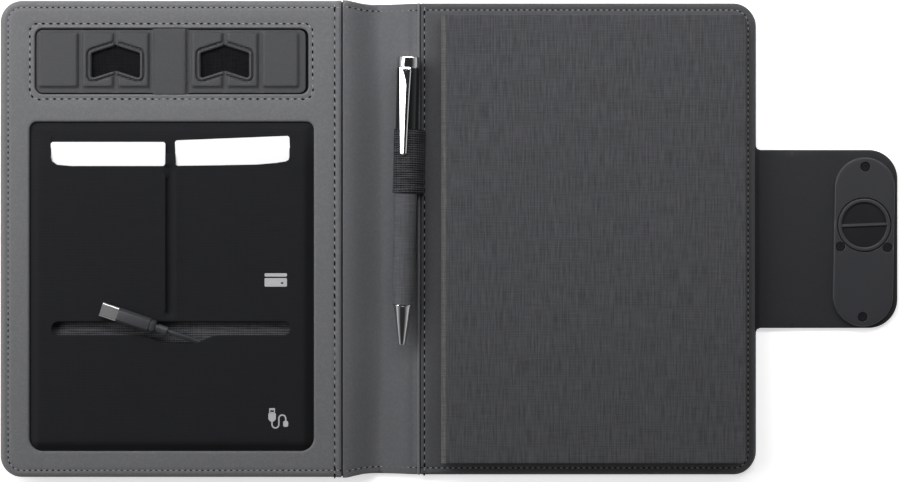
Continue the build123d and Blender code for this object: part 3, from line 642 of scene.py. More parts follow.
# Full edge lightening on the dark screws: a painted highlight on their cross edges.
SCREW_STEEL = speckled("screw_steel", (20, 20, 22), size=0.5, roughness=0.3, rub_and_highlight=1.0, contrast=5.0)
HIDDEN_BOARD = speckled("grey_board", (150, 142, 130), size=1.0, roughness=0.9)
BLACK_PLASTIC = speckled("black_plastic", (30, 30, 32), size=0.3, roughness=0.5)
CELL_FOIL = speckled("cell_foil", (200, 200, 204), size=1.0, roughness=0.35, metallic=1.0)
GREEN_CIRCUIT = speckled("green_circuit", (24, 92, 60), size=1.0)
BARE_STEEL = speckled("bare_steel", (168, 168, 170), size=0.5, roughness=0.3, metallic=1.0)
CLEAR_TUBE = speckled("clear_tube", (196, 196, 194), size=0.8, roughness=0.25)
PRINT_GREY = speckled("print_grey", (170, 170, 172), size=0.4, roughness=0.7, rub_and_highlight=0.0)

FINISHES = (
    (HIDDEN_BOARD, "back_board front_board"),
    (BARE_STEEL, "strike_plate lock_back_plate lock_magnets"),
    (TRAY_CLOTH, "stand_tray"),
    (BLACK_PLASTIC, "bank_back_shell bank_front_shell usb_contact_tongue pen_twist_unit"),
    (CELL_FOIL, "lipo_cell"),
    (GREEN_CIRCUIT, "charger_board"),
    (PLUG_PLASTIC, "cable_gland usb_collar"),
    (SLOT_WEAVE, "pocket_liner"),
    (CARD_PAPER, "card_left card_right"),
    (PLUG_METAL, "usb_plug_shell"),
    (PAGE_PAPER, "notebook_pages"),
    (PEN_BLACK, "pen_upper_barrel"),
    (BARREL_CLOTH, "pen_lower_barrel"),
    (CLEAR_TUBE, "pen_refill"),
    (LOCK_LACQUER, "lock_front_shell"),
    (SCREW_STEEL, "lock_screws"),
    (WELL_LACQUER, "turn_disc"),
)
for finish, node_names in FINISHES:
    for node_name in node_names.split():
        nodes[node_name].data.materials.clear()
        nodes[node_name].data.materials.append(finish)


# Camera, fitted to points of the part found in the photograph

LENS_PIXELS, PICTURE_WIDTH, SENSOR = 2063.0, 900, 36.0
CAMERA_PLACE = (-0.00004, -0.00099, 1.0)
camera_data = bpy.data.cameras.new("camera")
camera_data.sensor_width = SENSOR
camera_data.lens = SENSOR * LENS_PIXELS / PICTURE_WIDTH
camera = linked("camera", camera_data)
camera.location = CAMERA_PLACE
bpy.context.scene.camera = camera


# Charging cable, along the part's own route, each point with its drop from the plug's level

CABLE_DIAMETER = 2.5
CABLE_ROUTE = (
    (-134.9, -44.0, 0.0), (-129.69, -45.75, 0.0), (-120.3, -49.2, -4.2), (-110.5, -53.0, -4.65),
    (-96.4, -59.1, -4.65), (-87.9, -62.5, -4.65), (-82.6, -69.9, -4.65), (-82.0, -78.9, -4.65),
    (-86.2, -87.0, -4.65), (-94.1, -91.5, -4.65), (-103.2, -91.2, -4.65), (-116.5, -89.0, -4.65),
    (-131.5, -84.5, -4.65), (-147.0, -78.5, -4.65), (-160.0, -72.5, -4.65),
)
route = [Vector((x, y, PLUG_LEVEL + drop)) * MM for x, y, drop in reversed(CABLE_ROUTE)]
cable_curve = bpy.data.curves.new("charging_cable", "CURVE")
cable_curve.dimensions = "3D"
cable_curve.bevel_depth = CABLE_DIAMETER / 2 * MM
cable_curve.bevel_resolution = 5
cable_curve.resolution_u = 14
cable_curve.use_fill_caps = True
spline = cable_curve.splines.new("NURBS")
spline.points.add(len(route) - 1)
for point, spot in zip(spline.points, route):
    point.co = (*spot, 1.0)
spline.order_u = 3
spline.use_endpoint_u = True
charging_cable = linked("charging_cable", cable_curve)
charging_cable.data.materials.append(CABLE_JACKET)
dressed(charging_cable, "front_cover", "usb_cable", slot="cable_jacket")


# Plug, on its own axis from the collar towards the shell's mouth

PLUG_TURN, COLLAR_LENGTH, PLUG_WIDTH, PLUG_HEIGHT = 161.4, 5.8, 7.0, 4.6
PLUG_PLACE = placed_at((*CABLE_ROUTE[0][:2], PLUG_LEVEL), PLUG_TURN, "Z")
# Rings of the grip: place from the collar, less width, less height, lower bevel, half of the flat top
PLUG_RINGS = (
    (0.0, 2.4, 1.7, 0.5, 1.0), (0.5, 1.2, 0.6, 0.8, 1.6), (1.3, 0.7, 0.1, 1.0, 2.1),
    (2.2, 0.7, 0.1, 1.0, 2.1), (2.5, 1.2, 0.6, 1.0, 1.8), (3.0, 1.2, 0.6, 1.0, 1.8),
    (3.3, 0.3, 0.05, 1.0, 2.2), (18.7, 0.0, 0.0, 1.1, 2.3), (19.08, 0.25, 0.2, 1.0, 2.2),
    (19.2, 0.8, 0.7, 0.8, 1.9),
)


def plug_ring(along, narrower, lower, bevel, flat):
    """A section of the plug's grip: a flat top between broad bevels, and rounder below."""
    half, up = (PLUG_WIDTH - narrower) / 2, (PLUG_HEIGHT - lower) / 2
    section = [
        (half, -up + bevel), (half, 0.1 * up), (half - 0.35, 0.45 * up), (flat, up - 0.12), (flat - 0.45, up),
        (-flat + 0.45, up), (-flat, up - 0.12), (-half + 0.35, 0.45 * up), (-half, 0.1 * up),
        (-half, -up + bevel), (-half + bevel, -up), (half - bevel, -up),
    ]
    return [PLUG_PLACE @ Vector((COLLAR_LENGTH + along, y, z)) for y, z in section]


grip = swept_rings("plug_grip", [plug_ring(*ring) for ring in PLUG_RINGS], PLUG_PLASTIC, 28)
dressed(grip, "front_cover", "usb_plug_body", slot="plug_grey")


# Front cover: leather over the raised block, with its two windows

SKIN_EDGE, WALL_SEAM_X = -52.1, -55.3
TRAY_WINDOW = rounded_box(-199.0, -67.9, 69.4, 100.9, 3.8)
POCKET_WINDOW = rounded_box(-201.6, -65.3, -101.7, 56.2, (6.4, 6.4, 3.8, 3.8))
TRAY_SEAM = rounded_box(-201.4, -65.9, 67.0, 103.2, 4.6)
SEAM_LEFT, SEAM_HALF, SEAM_CORNER, SEAM_SINK = -211.8, 110.9, 6.5, 0.3
SKIN_CORNER, WINDOW_ROUND, EDGE_ROUND, WALL_ROUND = 10.4, 0.8, 2.8, 1.3
STRAP_X, STRAP_WIDTH, WRINKLE = -134.2, 11, 0.16
SEAM_BANDS = (0, 0.5, 1.1, 1.8)
EDGE_PITCH, EDGE_HOLE = 2.75, (0.6, 0.36)


def perimeter_seam(edge_x, far_x, half, corner):
    """The seam that runs along the top, round the far side and back along the bottom."""
    towards = 1 if edge_x > far_x else -1
    points = [(edge_x, half), (far_x + towards * corner, half)]
    for k in range(1, 9):
        angle = math.radians(90 * k / 8)
        reach_x, reach_y = corner * (1 - math.sin(angle)), corner * (1 - math.cos(angle))
        points.append((far_x + towards * reach_x, half - reach_y))
    return straight(*points, *[(x, -y) for x, y in reversed(points)])


FRONT_SEAM = perimeter_seam(SKIN_EDGE - 0.4, SEAM_LEFT, SEAM_HALF, SEAM_CORNER)
WALL_SEAM = straight((WALL_SEAM_X, 113.6), (WALL_SEAM_X, -113.6))


def front_skin_top(x, y, gaps):
    outer, tray, pocket = gaps
    height = FRONT_TOP - rounding(tray, WINDOW_ROUND) - rounding(pocket, WINDOW_ROUND)
    height -= np.where(x > SKIN_EDGE - 3, rounding(outer, WALL_ROUND), rounding(outer, EDGE_ROUND))
    height -= seam_groove(x, y, FRONT_SEAM) + seam_groove(x, y, WALL_SEAM)
    height -= seam_groove(x, y, TRAY_SEAM, True, 0.35, 0.9)
    calm = ease(np.minimum(outer, np.minimum(tray, pocket)), 0.5, 6.0)
    strap = bell(x, STRAP_X, STRAP_WIDTH) * bell(tray, 0, 3.0)
    return height + undulation(x, y, 22.0, 0.14) * calm + WRINKLE * np.sin(x * 1.7) * strap


def front_skin_low(x, y, gaps):
    outer, tray, _ = gaps
    height = np.where(tray < WINDOW_ROUND, TRAY_TOP + 0.05, FRAME_TOP)
    return np.where(outer < 0.7, LEATHER + 0.05, height)


def front_cover_skin():
    half = HALF_DEPTH - LINING_INSET
    radii = (SKIN_CORNER, 0.5, 0.5, SKIN_CORNER)
    skin = moulded_plate(
        "front_cover_skin", rounded_box(FRONT_EDGE + LINING_INSET, SKIN_EDGE, -half, half, radii),
        front_skin_top, front_skin_low, LINING_LEATHER, edge_bands(EDGE_ROUND), 3.5,
        holes=[TRAY_WINDOW, POCKET_WINDOW],
        lines=[FRONT_SEAM, WALL_SEAM, straight(*TRAY_SEAM, TRAY_SEAM[0])],
        line_bands=SEAM_BANDS,
    )
    dressed(skin, "front_cover", "front_lining", "front_frame", "front_board", slot="lining_leather")
    rows = (
        ("front_perimeter_stitches", FRONT_SEAM, False, EDGE_PITCH, (0.75, 0.22), EDGE_HOLE, 0),
        ("wall_seam_stitches", WALL_SEAM, False, 3.9, (0.75, 0.22), (1.25, 0.5), 8),
        ("tray_stitches", TRAY_SEAM, True, 3.6, (0.7, 0.28), (0.8, 0.52), 0),
    )
    for name, line, closed, pitch, thread, hole, slant in rows:
        row = stitch_row(name, line, FRONT_TOP - SEAM_SINK, pitch, thread, hole, slant, closed)
        dressed(row, "front_cover")


front_cover_skin()


# Outer leather in four sheets, each across one fold, and the soft leather beside the front cover

GUSSET_LEFT, GUSSET_TOP = -51.6, 10.6
FLAP_HALF, FLAP_CORNER, FLAP_TOP, FLAP_ROUND, COVER_CORNER, COVER_ROUND = 43.1, 14.0, 2.1, 0.7, 11.0, 0.45
END_DRAW, END_DIP, DIP_REACH = 0.9, 0.5, 15.5
FOLD_REACH = 2.2
FLAP_BANDS = (0, 0.5, 1.0, 1.6, 2.2, 3.5, 6.0)


def sheet_half(x):
    """Half depth of the outer leather at a place along X; the spine's ends are drawn in."""
    drawn = np.clip((x - LEFT_FOLD) / 8, 0, 1) * END_DRAW
    dip = END_DIP * np.clip(1 - ((x - SPINE_SPLIT) / DIP_REACH) ** 2, 0, 1)
    return HALF_DEPTH - 0.2 - drawn - dip


def spine_height(x, y):
    """The soft leather falls from the raised front cover to the spine's floor."""
    foot = -32.0 - 2.0 * ease(np.abs(y), 60, 108)
    lift = 1 - ease(x, GUSSET_LEFT - 0.4, foot)
    return SPINE_TOP + (GUSSET_TOP - SPINE_TOP) * lift


def inner_height(x, y):
    """The spine's inner side, with the slight fold beside the back cover."""
    return spine_height(x, y) + 0.15 * ease(x, -27, -22)


def spine_seam(side):
    xs = np.linspace(GUSSET_LEFT + 0.8, -16.4, 18)
    return [(x, side * (sheet_half(x) - 3.3)) for x in xs]


SPINE_SEAMS = (spine_seam(1), spine_seam(-1))


def spine_grooves(x, y):
    return sum(seam_groove(x, y, seam, depth=0.25, width=0.7) for seam in SPINE_SEAMS)


def across_fold(piece, first, second, fold):
    """Bakes a piece's place into its points; the ends across the fold are worked out but not used."""
    start, end = (((fold + reach) * MM, 0, LEATHER * MM) for reach in (-FOLD_REACH, FOLD_REACH))
    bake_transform(piece)
    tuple(start)
    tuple(end)


def blended(piece, first, second, fold, *replaced):
    across_fold(piece, first, second, fold)
    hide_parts(*replaced)


def along_edge(x0, x1, step=2.5):
    """The sheet's lower edge between two places along X."""
    count = max(2, math.ceil(abs(x1 - x0) / step))
    xs = [x0 + (x1 - x0) * k / count for k in range(count + 1)]
    return [(x, -float(sheet_half(x))) for x in xs]


def mirrored(low, step):
    """A closed outline from its lower half."""
    return divided(low + [(x, -y) for x, y in reversed(low)], step)


def front_outer_leather():
    corner, edge, half = COVER_CORNER, FRONT_EDGE, float(sheet_half(-100.0))
    arc = [
        (edge + corner * (1 - math.cos(a)), -half + corner * (1 - math.sin(a)))
        for a in np.radians(np.arange(0, 91, 10))
    ]
    shape = rounded_box(edge, 0, -half, half, (corner, 1, 1, corner))

    def bottom(x, y, gaps):
        return rounding(gap_at(x, y, shape), COVER_ROUND)

    sheet = moulded_plate(
        "front_outer_leather", mirrored(arc + along_edge(edge + corner + 3, SPINE_SPLIT), 4.0),
        lambda x, y, gaps: LEATHER - bottom(x, y, gaps),
        bottom, OUTER_LEATHER, edge_bands(COVER_ROUND), 6.0,
        lines=[straight((LEFT_FOLD, -110), (LEFT_FOLD, 110), step=4.0)],
        line_bands=(0, 0.6, 1.2, 1.8, 2.4, 4.0),
    )
    blended(sheet, "front_cover", "spine", LEFT_FOLD, "front_cover_leather")


def soft_gusset():
    """Leather that leads from the front cover's top edge down to the spine."""
    low = [(x, y + 0.1) for x, y in along_edge(GUSSET_LEFT, SPINE_SPLIT, 2.0)]

    def top(x, y, gaps):
        edge = sheet_half(x) - 0.1 - np.abs(y)
        height = spine_height(x, y) - rounding(edge, 0.9) - rounding(x - GUSSET_LEFT, 0.7)
        return height - spine_grooves(x, y) + undulation(x, y, 30.0, 0.12) * ease(edge, 1, 6)

    gusset = moulded_plate(
        "spine_gusset", mirrored(low, 2.5), top, LEATHER + 0.02, SHADED_SPINE_LEATHER, edge_bands(0.9), 2.4,
        lines=[seam[:12] for seam in SPINE_SEAMS],
        line_bands=(0, 0.5, 1.0),
    )
    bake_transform(gusset)
    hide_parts("spine_lining")


def spine_outer_leather():
    edge_round = 0.5

    def top(x, y, gaps):
        inner = 1 - ease(x, -15.6, -14.8)
        crease = 0.35 * bell(x, RIGHT_FOLD + 1.5, 1.6)
        height = inner_height(x, y) - crease - spine_grooves(x, y)
        return LEATHER + (height - LEATHER) * inner - rounding(sheet_half(x) - np.abs(y), edge_round)

    sheet = moulded_plate(
        "spine_outer_leather", mirrored(along_edge(SPINE_SPLIT, BACK_MIDDLE), 3.0), top,
        lambda x, y, gaps: rounding(sheet_half(x) - np.abs(y), edge_round),
        SHADED_SPINE_LEATHER, edge_bands(edge_round), 3.2,
        lines=[straight((RIGHT_FOLD, -108), (RIGHT_FOLD, 108), step=3.5)],
        line_bands=(0, 0.6, 1.2, 1.8, 2.4, 3.4, 3.8, 4.2, 4.6, 6.5, 9.0, 11.5),
    )
    blended(sheet, "spine", "back_cover", RIGHT_FOLD, "spine_leather")


def back_outer_leather():
    """From the back cover's middle over its edge and along the tongue to the riser's middle."""
    half, corner, turn = float(sheet_half(100.0)), COVER_CORNER, 2.0
    low = [(BACK_MIDDLE, -half), (BACK_EDGE - corner, -half)]
    low += [
        (BACK_EDGE - corner + corner * math.sin(a), -half + corner * (1 - math.cos(a)))
        for a in np.radians(np.arange(10, 91, 10))
    ]
    low += [
        (BACK_EDGE, -FLAP_HALF - turn), (BACK_EDGE + 0.6, -FLAP_HALF - 0.6), (BACK_EDGE + turn, -FLAP_HALF),
        (RISER_MIDDLE, -FLAP_HALF),
    ]
    outline = mirrored(low, 3.0)

    def bottom(x, y, gaps):
        away = np.minimum(x - BACK_MIDDLE, RISER_MIDDLE - x)
        beside = np.where(x > BACK_EDGE, FLAP_HALF, half) - np.abs(y)
        return rounding(np.where(away < 1.0, beside, gap_at(x, y, outline)), COVER_ROUND)

    def top(x, y, gaps):
        on_flap = ease(x, BACK_EDGE - 0.6, FLAP_FOLD + 1.0)
        crease = 0.3 * bell(x, FLAP_FOLD, 1.0)
        return LEATHER + 0.9 * on_flap - on_flap * crease - bottom(x, y, gaps)

    sheet = moulded_plate(
        "back_outer_leather", outline, top, bottom, FLAP_LEATHER, edge_bands(COVER_ROUND), 5.0,
        lines=[straight((FLAP_FOLD, -41), (FLAP_FOLD, 41), step=3.5)],
        line_bands=FLAP_BANDS,
    )
    blended(sheet, "back_cover", "flap_riser", FLAP_FOLD, "back_cover_leather")


def flap_leather():
    radii = (0.05, FLAP_CORNER, FLAP_CORNER, 0.05)
    shape = rounded_box(100.0, FLAP_TIP, -FLAP_HALF, FLAP_HALF, (1, FLAP_CORNER, FLAP_CORNER, 1))

    def bottom(x, y, gaps):
        return rounding(gap_at(x, y, shape), FLAP_ROUND)

    sheet = moulded_plate(
        "flap_leather", rounded_box(RISER_MIDDLE, FLAP_TIP, -FLAP_HALF, FLAP_HALF, radii),
        lambda x, y, gaps: FLAP_TOP - 0.1 * bell(x, WRAP_FOLD, 1.5) - bottom(x, y, gaps),
        bottom, FLAP_LEATHER, edge_bands(FLAP_ROUND), 3.5,
        lines=[straight((WRAP_FOLD, -41), (WRAP_FOLD, 41), step=3.5)],
        line_bands=FLAP_BANDS,
    )
    blended(sheet, "flap_riser", "flap_end", WRAP_FOLD, "flap_riser", "flap_end")


front_outer_leather()
soft_gusset()
spine_outer_leather()
back_outer_leather()
flap_leather()


def seam_level(x, y):
    return float(inner_height(np.array([x]), np.array([y]))[0]) - 0.2


for side_name, seam in zip(("top", "low"), SPINE_SEAMS):
    spans = (
        ("left", [p for p in seam if p[0] <= SPINE_SPLIT + 1], "front_cover", "spine", LEFT_FOLD),
        ("right", [p for p in seam if p[0] >= SPINE_SPLIT - 1], "spine", "back_cover", RIGHT_FOLD),
    )
    for label, line, first, second, fold in spans:
        name = f"spine_{side_name}_{label}_stitches"
        row = stitch_row(name, line, seam_level, EDGE_PITCH, (0.7, 0.22), (0.5, 0.32))
        across_fold(row, first, second, fold)


# Back cover's inner leather

def back_cover_skin():
    half, edge_round, fold_round = HALF_DEPTH - LINING_INSET - 0.5, 1.3, 0.6
    outline = rounded_box(-14.4, 147.4, -half, half, (0.8, SKIN_CORNER, SKIN_CORNER, 0.8))
    seam = perimeter_seam(-13.6, 144.0, SEAM_HALF - 0.3, 7.0)
    side_seam = straight((-12.4, half - 0.6), (-12.4, 0.6 - half))

    def top(x, y, gaps):
        height = BACK_TOP - rounding(gaps[0], edge_round)
        return height - seam_groove(x, y, seam) - seam_groove(x, y, side_seam)

    # The skin takes the darker copy of the lining leather, painted shade beside the pen.
    skin = moulded_plate(
        "back_cover_skin", outline, top, LEATHER + 0.02, SHADED_BACK_LEATHER, edge_bands(edge_round), 6.0,
        lines=[seam, side_seam],
        line_bands=SEAM_BANDS,
    )
    dressed(skin, "back_cover", "back_lining", "back_board", slot="lining_leather")
    fold = moulded_plate(
        "back_lining_fold", rounded_box(-15.9, -14.45, -half, half, 0.4, 2.5),
        lambda x, y, gaps: BACK_TOP + 0.25 - rounding(gaps[0], fold_round),
        LEATHER + 0.02, LINING_LEATHER, edge_bands(fold_round), 1.5,
    )
    dressed(fold, "back_cover", slot="lining_leather")
    level = BACK_TOP - SEAM_SINK
    rows = (
        ("back_perimeter_stitches", seam, level, EDGE_PITCH, (0.7, 0.2), EDGE_HOLE),
        ("back_side_stitches", side_seam, level, 3.9, (0.65, 0.2), (1.25, 0.5), -6),
    )
    for row in rows:
        dressed(stitch_row(*row), "back_cover")


back_cover_skin()


# Phone stand strip

STAND_X, STAND_HINGE, LEAF_PITCH, LEAF_GAP = -134.2, 9.15, 17.0, 1.5
LEAF_LOW, LEAF_HIGH = 70.0, 100.3
PAD_FOOT, PAD_HEAD, PAD_ROUND = 72.5, 99.3, 1.4
NOTCH_HALF, NOTCH_LOW, NOTCH_HIGH, NOTCH_RISE, NOTCH_ROUND = 11.6, 77.1, 89.0, 3.7, 0.9
LEAF_SKIN, LEAF_RAISE = 0.5, 1.25
HALF_GAP = LEAF_GAP / 2


def notch_outline(fold_x):
    low, high, half = NOTCH_LOW, NOTCH_HIGH, NOTCH_HALF
    corners = [
        (fold_x - half, low), (fold_x, low + NOTCH_RISE), (fold_x + half, low),
        (fold_x + half, high), (fold_x, high + NOTCH_RISE), (fold_x - half, high),
    ]
    return divided(rounded_corners(corners, NOTCH_ROUND), 1.0)


def leaf_outline(x0, x1, fold_x):
    """A leaf's outline, with its half of the notch where it has one."""
    if fold_x is None:
        left, right = (3.0 if x0 < -190 else 0.3), (3.0 if x1 > -75 else 0.3)
        return rounded_box(x0, x1, LEAF_LOW, LEAF_HIGH, (left, right, right, left), 1.2)
    middle = (NOTCH_LOW + NOTCH_HIGH + NOTCH_RISE) / 2
    left_half = abs(x1 - fold_x) < 2
    edge = x1 if left_half else x0
    share = 1 - abs(edge - fold_x) / NOTCH_HALF
    lower, upper = NOTCH_LOW + NOTCH_RISE * share, NOTCH_HIGH + NOTCH_RISE * share
    inside = [p for p in notch_outline(fold_x) if (p[0] < edge - 0.05 if left_half else p[0] > edge + 0.05)]

    def bearing(point):
        """Angle about the notch's middle, anticlockwise from its foot."""
        return (math.atan2(point[1] - middle, point[0] - fold_x) + math.pi / 2) % math.tau

    inside.sort(key=bearing, reverse=True)
    if left_half:
        path = [(x0, LEAF_LOW), (x1, LEAF_LOW), (x1, lower), *inside, (x1, upper), (x1, LEAF_HIGH)]
        path.append((x0, LEAF_HIGH))
    else:
        path = [(x1, LEAF_LOW), (x1, LEAF_HIGH), (x0, LEAF_HIGH), (x0, upper), *inside, (x0, lower)]
        path.append((x0, LEAF_LOW))
    return divided(path, 1.2)


def leaf_pad(label, x0, x1, pad_x0, pad_x1, fold_x):
    """One leaf: a thin base with a raised pad, and a raised rim round the notch."""
    notch = notch_outline(fold_x) if fold_x is not None else None

    def top(x, y, gaps):
        pad = ease(box_gap(x, y, pad_x0, pad_x1, PAD_FOOT, PAD_HEAD, PAD_ROUND), -0.25, 1.1)
        if notch is not None:
            away = gap_at(x, y, notch)
            rim = ease(away, -0.05, 0.5) * (1 - ease(away, 1.2, 1.8))
            pad = np.maximum(pad * ease(away, 1.9, 2.6), rim * 0.95)
        return LEAF_BASE + LEAF_SKIN + LEAF_RAISE * pad - rounding(gaps[0], 0.2)

    outline = leaf_outline(x0, x1, fold_x)
    pad = moulded_plate(f"{label}_pad", outline, top, LEAF_BASE, STRIP_LEATHER, (0.1, 0.35), 0.62)
    dressed(pad, label, f"{label}_leaf", slot="lining_leather")


def fold_web(name, x, y0, y1, first, second, sign):
    """The thin leather that joins two leaves along a fold."""
    half = HALF_GAP + 0.3
    web = moulded_plate(
        name, rounded_box(x - half, x + half, y0, y1, 0.1, 1.5),
        lambda px, py, gaps: LEAF_BASE + 0.42 - 0.15 * bell(px, x, 0.4),
        LEAF_BASE + 0.1, STRIP_LEATHER, (0.3,), 0.8,
    )
    reach = HALF_GAP * sign
    start, end = ((x - reach) * MM, 0, LEAF_BASE * MM), ((x + reach) * MM, 0, LEAF_BASE * MM)
    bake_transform(web)
    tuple(start)
    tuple(end)


def stand_middle():
    left, right = STAND_X - STAND_HINGE + HALF_GAP, STAND_X + STAND_HINGE - HALF_GAP

    def top(x, y, gaps):
        pad = ease(box_gap(x, y, left + 0.3, right - 0.3, 60, 110, 0.5), 0, 0.8)
        return LEAF_BASE + LEAF_SKIN + LEAF_RAISE * pad + undulation(x, y, 6.0, 0.1)

    outline = rounded_box(left, right, 69.5, 100.8, 0.2, 1.2)
    middle = moulded_plate("stand_middle_pad", outline, top, TRAY_TOP + 0.02, STRIP_LEATHER, (0.15, 0.4), 1.0)
    dressed(middle, "front_cover", "stand_centre", slot="lining_leather")


def stand_wing(side, sign, leaf_end, pad_end):
    """Three leaves of one side and the webs in their folds."""
    hinge_x = STAND_X + sign * STAND_HINGE
    ridge_x = hinge_x + sign * LEAF_PITCH
    outer_x = ridge_x + sign * LEAF_PITCH
    gap = sign * HALF_GAP
    inner, outer, end = (f"stand_{side}_{place}" for place in ("inner", "outer", "end"))
    spans = (
        (inner, hinge_x + gap, ridge_x - gap, ridge_x),
        (outer, ridge_x + gap, outer_x - gap, ridge_x),
        (end, outer_x + gap, leaf_end, None),
    )
    for label, near_x, far_x, fold_x in spans:
        x0, x1 = min(near_x, far_x), max(near_x, far_x)
        pad_x0, pad_x1 = x0 + 0.15, x1 - 0.15
        if label == end:
            pad_x0, pad_x1 = (pad_end, pad_x1) if sign < 0 else (pad_x0, pad_end)
        leaf_pad(label, x0, x1, pad_x0, pad_x1, fold_x)
    foot, head = NOTCH_LOW + NOTCH_RISE - 0.3, NOTCH_HIGH + NOTCH_RISE + 0.3
    webs = (
        ("foot_web", hinge_x, LEAF_LOW, LEAF_HIGH, "front_cover", inner),
        ("ridge_web_low", ridge_x, LEAF_LOW, foot, inner, outer),
        ("ridge_web_high", ridge_x, head, LEAF_HIGH, inner, outer),
        ("settle_web", outer_x, LEAF_LOW, LEAF_HIGH, outer, end),
    )
    for place, *web in webs:
        fold_web(f"stand_{side}_{place}", *web, sign)


stand_middle()
stand_wing("left", -1, -198.5, -197.7)
stand_wing("right", 1, -69.3, -72.4)


# Cloth pockets: the cloth behind the cards, and the padded front with its two mouths and the slot

WINDOW_LEFT, WINDOW_RIGHT, WINDOW_LOW, WINDOW_HIGH = -201.6, -65.3, -101.7, 56.2
CARD_LOW, LIP, WEB_TOP, MOUTH_END = -38.6, 34.9, 41.0, 51.5
GROOVE_X, GROOVE_DEPTH, WELT = -133.9, 1.7, 0.3
SLOT_LEFT, SLOT_RIGHT, SLOT_LOW, SLOT_HIGH = -190.4, -76.5, -45.9, -39.7
SAG, SAG_X, SAG_WIDTH = 4.0, -129.5, 13.5
RISE_WIDTH = 4.9
PANEL_INSET, PANEL_CORNER = 0.25, 6.5


def surround_height(x, y):
    edge = box_gap(x, y, WINDOW_LEFT, WINDOW_RIGHT, WINDOW_LOW, WINDOW_HIGH, 3.8)
    return LINER_TOP + 0.3 + (BACKING_TOP - LINER_TOP - 0.3) * ease(edge, 0.2, RISE_WIDTH)


def window_edge(x, y):
    return box_gap(x, y, WINDOW_LEFT, WINDOW_RIGHT, WINDOW_LOW, WINDOW_HIGH + 20, 5.0)


def panel_height(x, y):
    """Top of the padded front: a soft rise from the window's edge, fading out beside the cards."""
    rise = ease(window_edge(x, y), 0.1, RISE_WIDTH)
    full = LINER_TOP + 0.4 + (POCKET_TOP - LINER_TOP - 0.4) * rise
    beside = 1 - ease(y, 37.0, 51.0)
    low = surround_height(x, y) + 0.06
    across = x - GROOVE_X
    channel = GROOVE_DEPTH * ease(across, -2.4, -1.6) * (1 - ease(across, 0.2, 2.6))
    channel -= WELT * bell(across, 3.2, 1.0)
    channel = channel * ease(y, CARD_LOW + 0.6, CARD_LOW + 3) * (1 - ease(y, LIP - 1.0, LIP + 1.5))
    return low + (full - channel + undulation(x, y, 34.0, 0.2) * rise - low) * beside


def slot_outline():
    """The long slot, with the sag where the cable dives in."""
    half = (SLOT_HIGH - SLOT_LOW) / 2 - 0.05
    points = []
    for x, y in rounded_box(SLOT_LEFT, SLOT_RIGHT, SLOT_LOW, SLOT_HIGH, half, 1.6):
        if y < SLOT_LOW + 0.4:
            y -= SAG * math.exp(-(((x - SAG_X) / SAG_WIDTH) ** 4))
        points.append((x, y))
    return points


def panel_outline():
    """The padded front's outline: round below, with the web between its two mouths above."""
    left, right, low = WINDOW_LEFT + PANEL_INSET, WINDOW_RIGHT - PANEL_INSET, WINDOW_LOW + PANEL_INSET
    bottom = rounded_box(left, right, low, MOUTH_END, (PANEL_CORNER, PANEL_CORNER, 1.0, 1.0))
    lower = [p for p in bottom if p[1] < low + PANEL_CORNER + 0.1]
    first = min(range(len(lower)), key=lambda k: (round(lower[k][0], 3), -lower[k][1]))
    lower = lower[first:] + lower[:first]
    right_mouth = [
        (right, MOUTH_END), (-76.9, MOUTH_END), (-76.9, 39.2), (-77.3, 37.8), (-78.6, 37.1), (-83.2, 36.4),
        (-92.4, 35.6), (-110.0, 35.25), (-130.4, 35.0),
    ]
    left_mouth = [
        (-131.0, 35.4), (-131.3, 36.2), (-131.6, WEB_TOP), (-136.0, WEB_TOP), (-136.3, 36.2), (-136.6, 35.4),
        (-137.2, 34.9), (-160.0, LIP), (-181.2, LIP), (-188.0, 35.5), (-190.4, 37.2), (-190.9, 39.0),
        (-191.0, MOUTH_END), (left, MOUTH_END),
    ]
    return divided(lower + right_mouth + left_mouth, 2.2)


def cloth_pockets():
    grown = rounded_box(WINDOW_LEFT - 0.3, WINDOW_RIGHT + 0.3, WINDOW_LOW - 0.3, WINDOW_HIGH + 0.3, 3.8)
    surround = moulded_plate(
        "card_backing_cloth", grown, lambda x, y, gaps: surround_height(x, y) + undulation(x, y, 30.0, 0.1),
        LINER_TOP + 0.01, POCKET_CLOTH, (0.3, 0.9, 1.8, 2.8, 3.8, 4.9), 4.5,
        holes=[rounded_box(-195.5, -71.5, -96.5, CARD_LOW - 1.2, 4.0)],
    )
    dressed(surround, "front_cover", "pocket_border", "card_backing", slot="black_fabric")

    def top(x, y, gaps):
        outer, slot = gaps
        return panel_height(x, y) - np.where(y > 20, rounding(outer, 0.35), 0) - rounding(slot, 0.55)

    def bottom(x, y, gaps):
        lid = np.minimum(POCKET_LOW, panel_height(x, y) - 0.05)
        return np.where(window_edge(x, y) < 4.0, np.minimum(LINER_TOP + 0.05, lid), lid)

    panel = moulded_plate(
        "pocket_front_cloth", panel_outline(), top, bottom, POCKET_CLOTH,
        (0.06, 0.2, 0.4, 0.9, 1.7, 2.7, 3.8, 5.0), 3.2,
        holes=[slot_outline()],
        lines=[straight((GROOVE_X, CARD_LOW + 1), (GROOVE_X, LIP - 2), step=2.5)],
        line_bands=(0, 0.5, 1.0, 1.6, 2.0, 2.4, 2.9, 3.5, 4.3),
    )
    dressed(panel, "front_cover", "fabric_pocket_panel", slot="black_fabric")


cloth_pockets()


# Plain pictograms printed on the pocket: a card and a cable

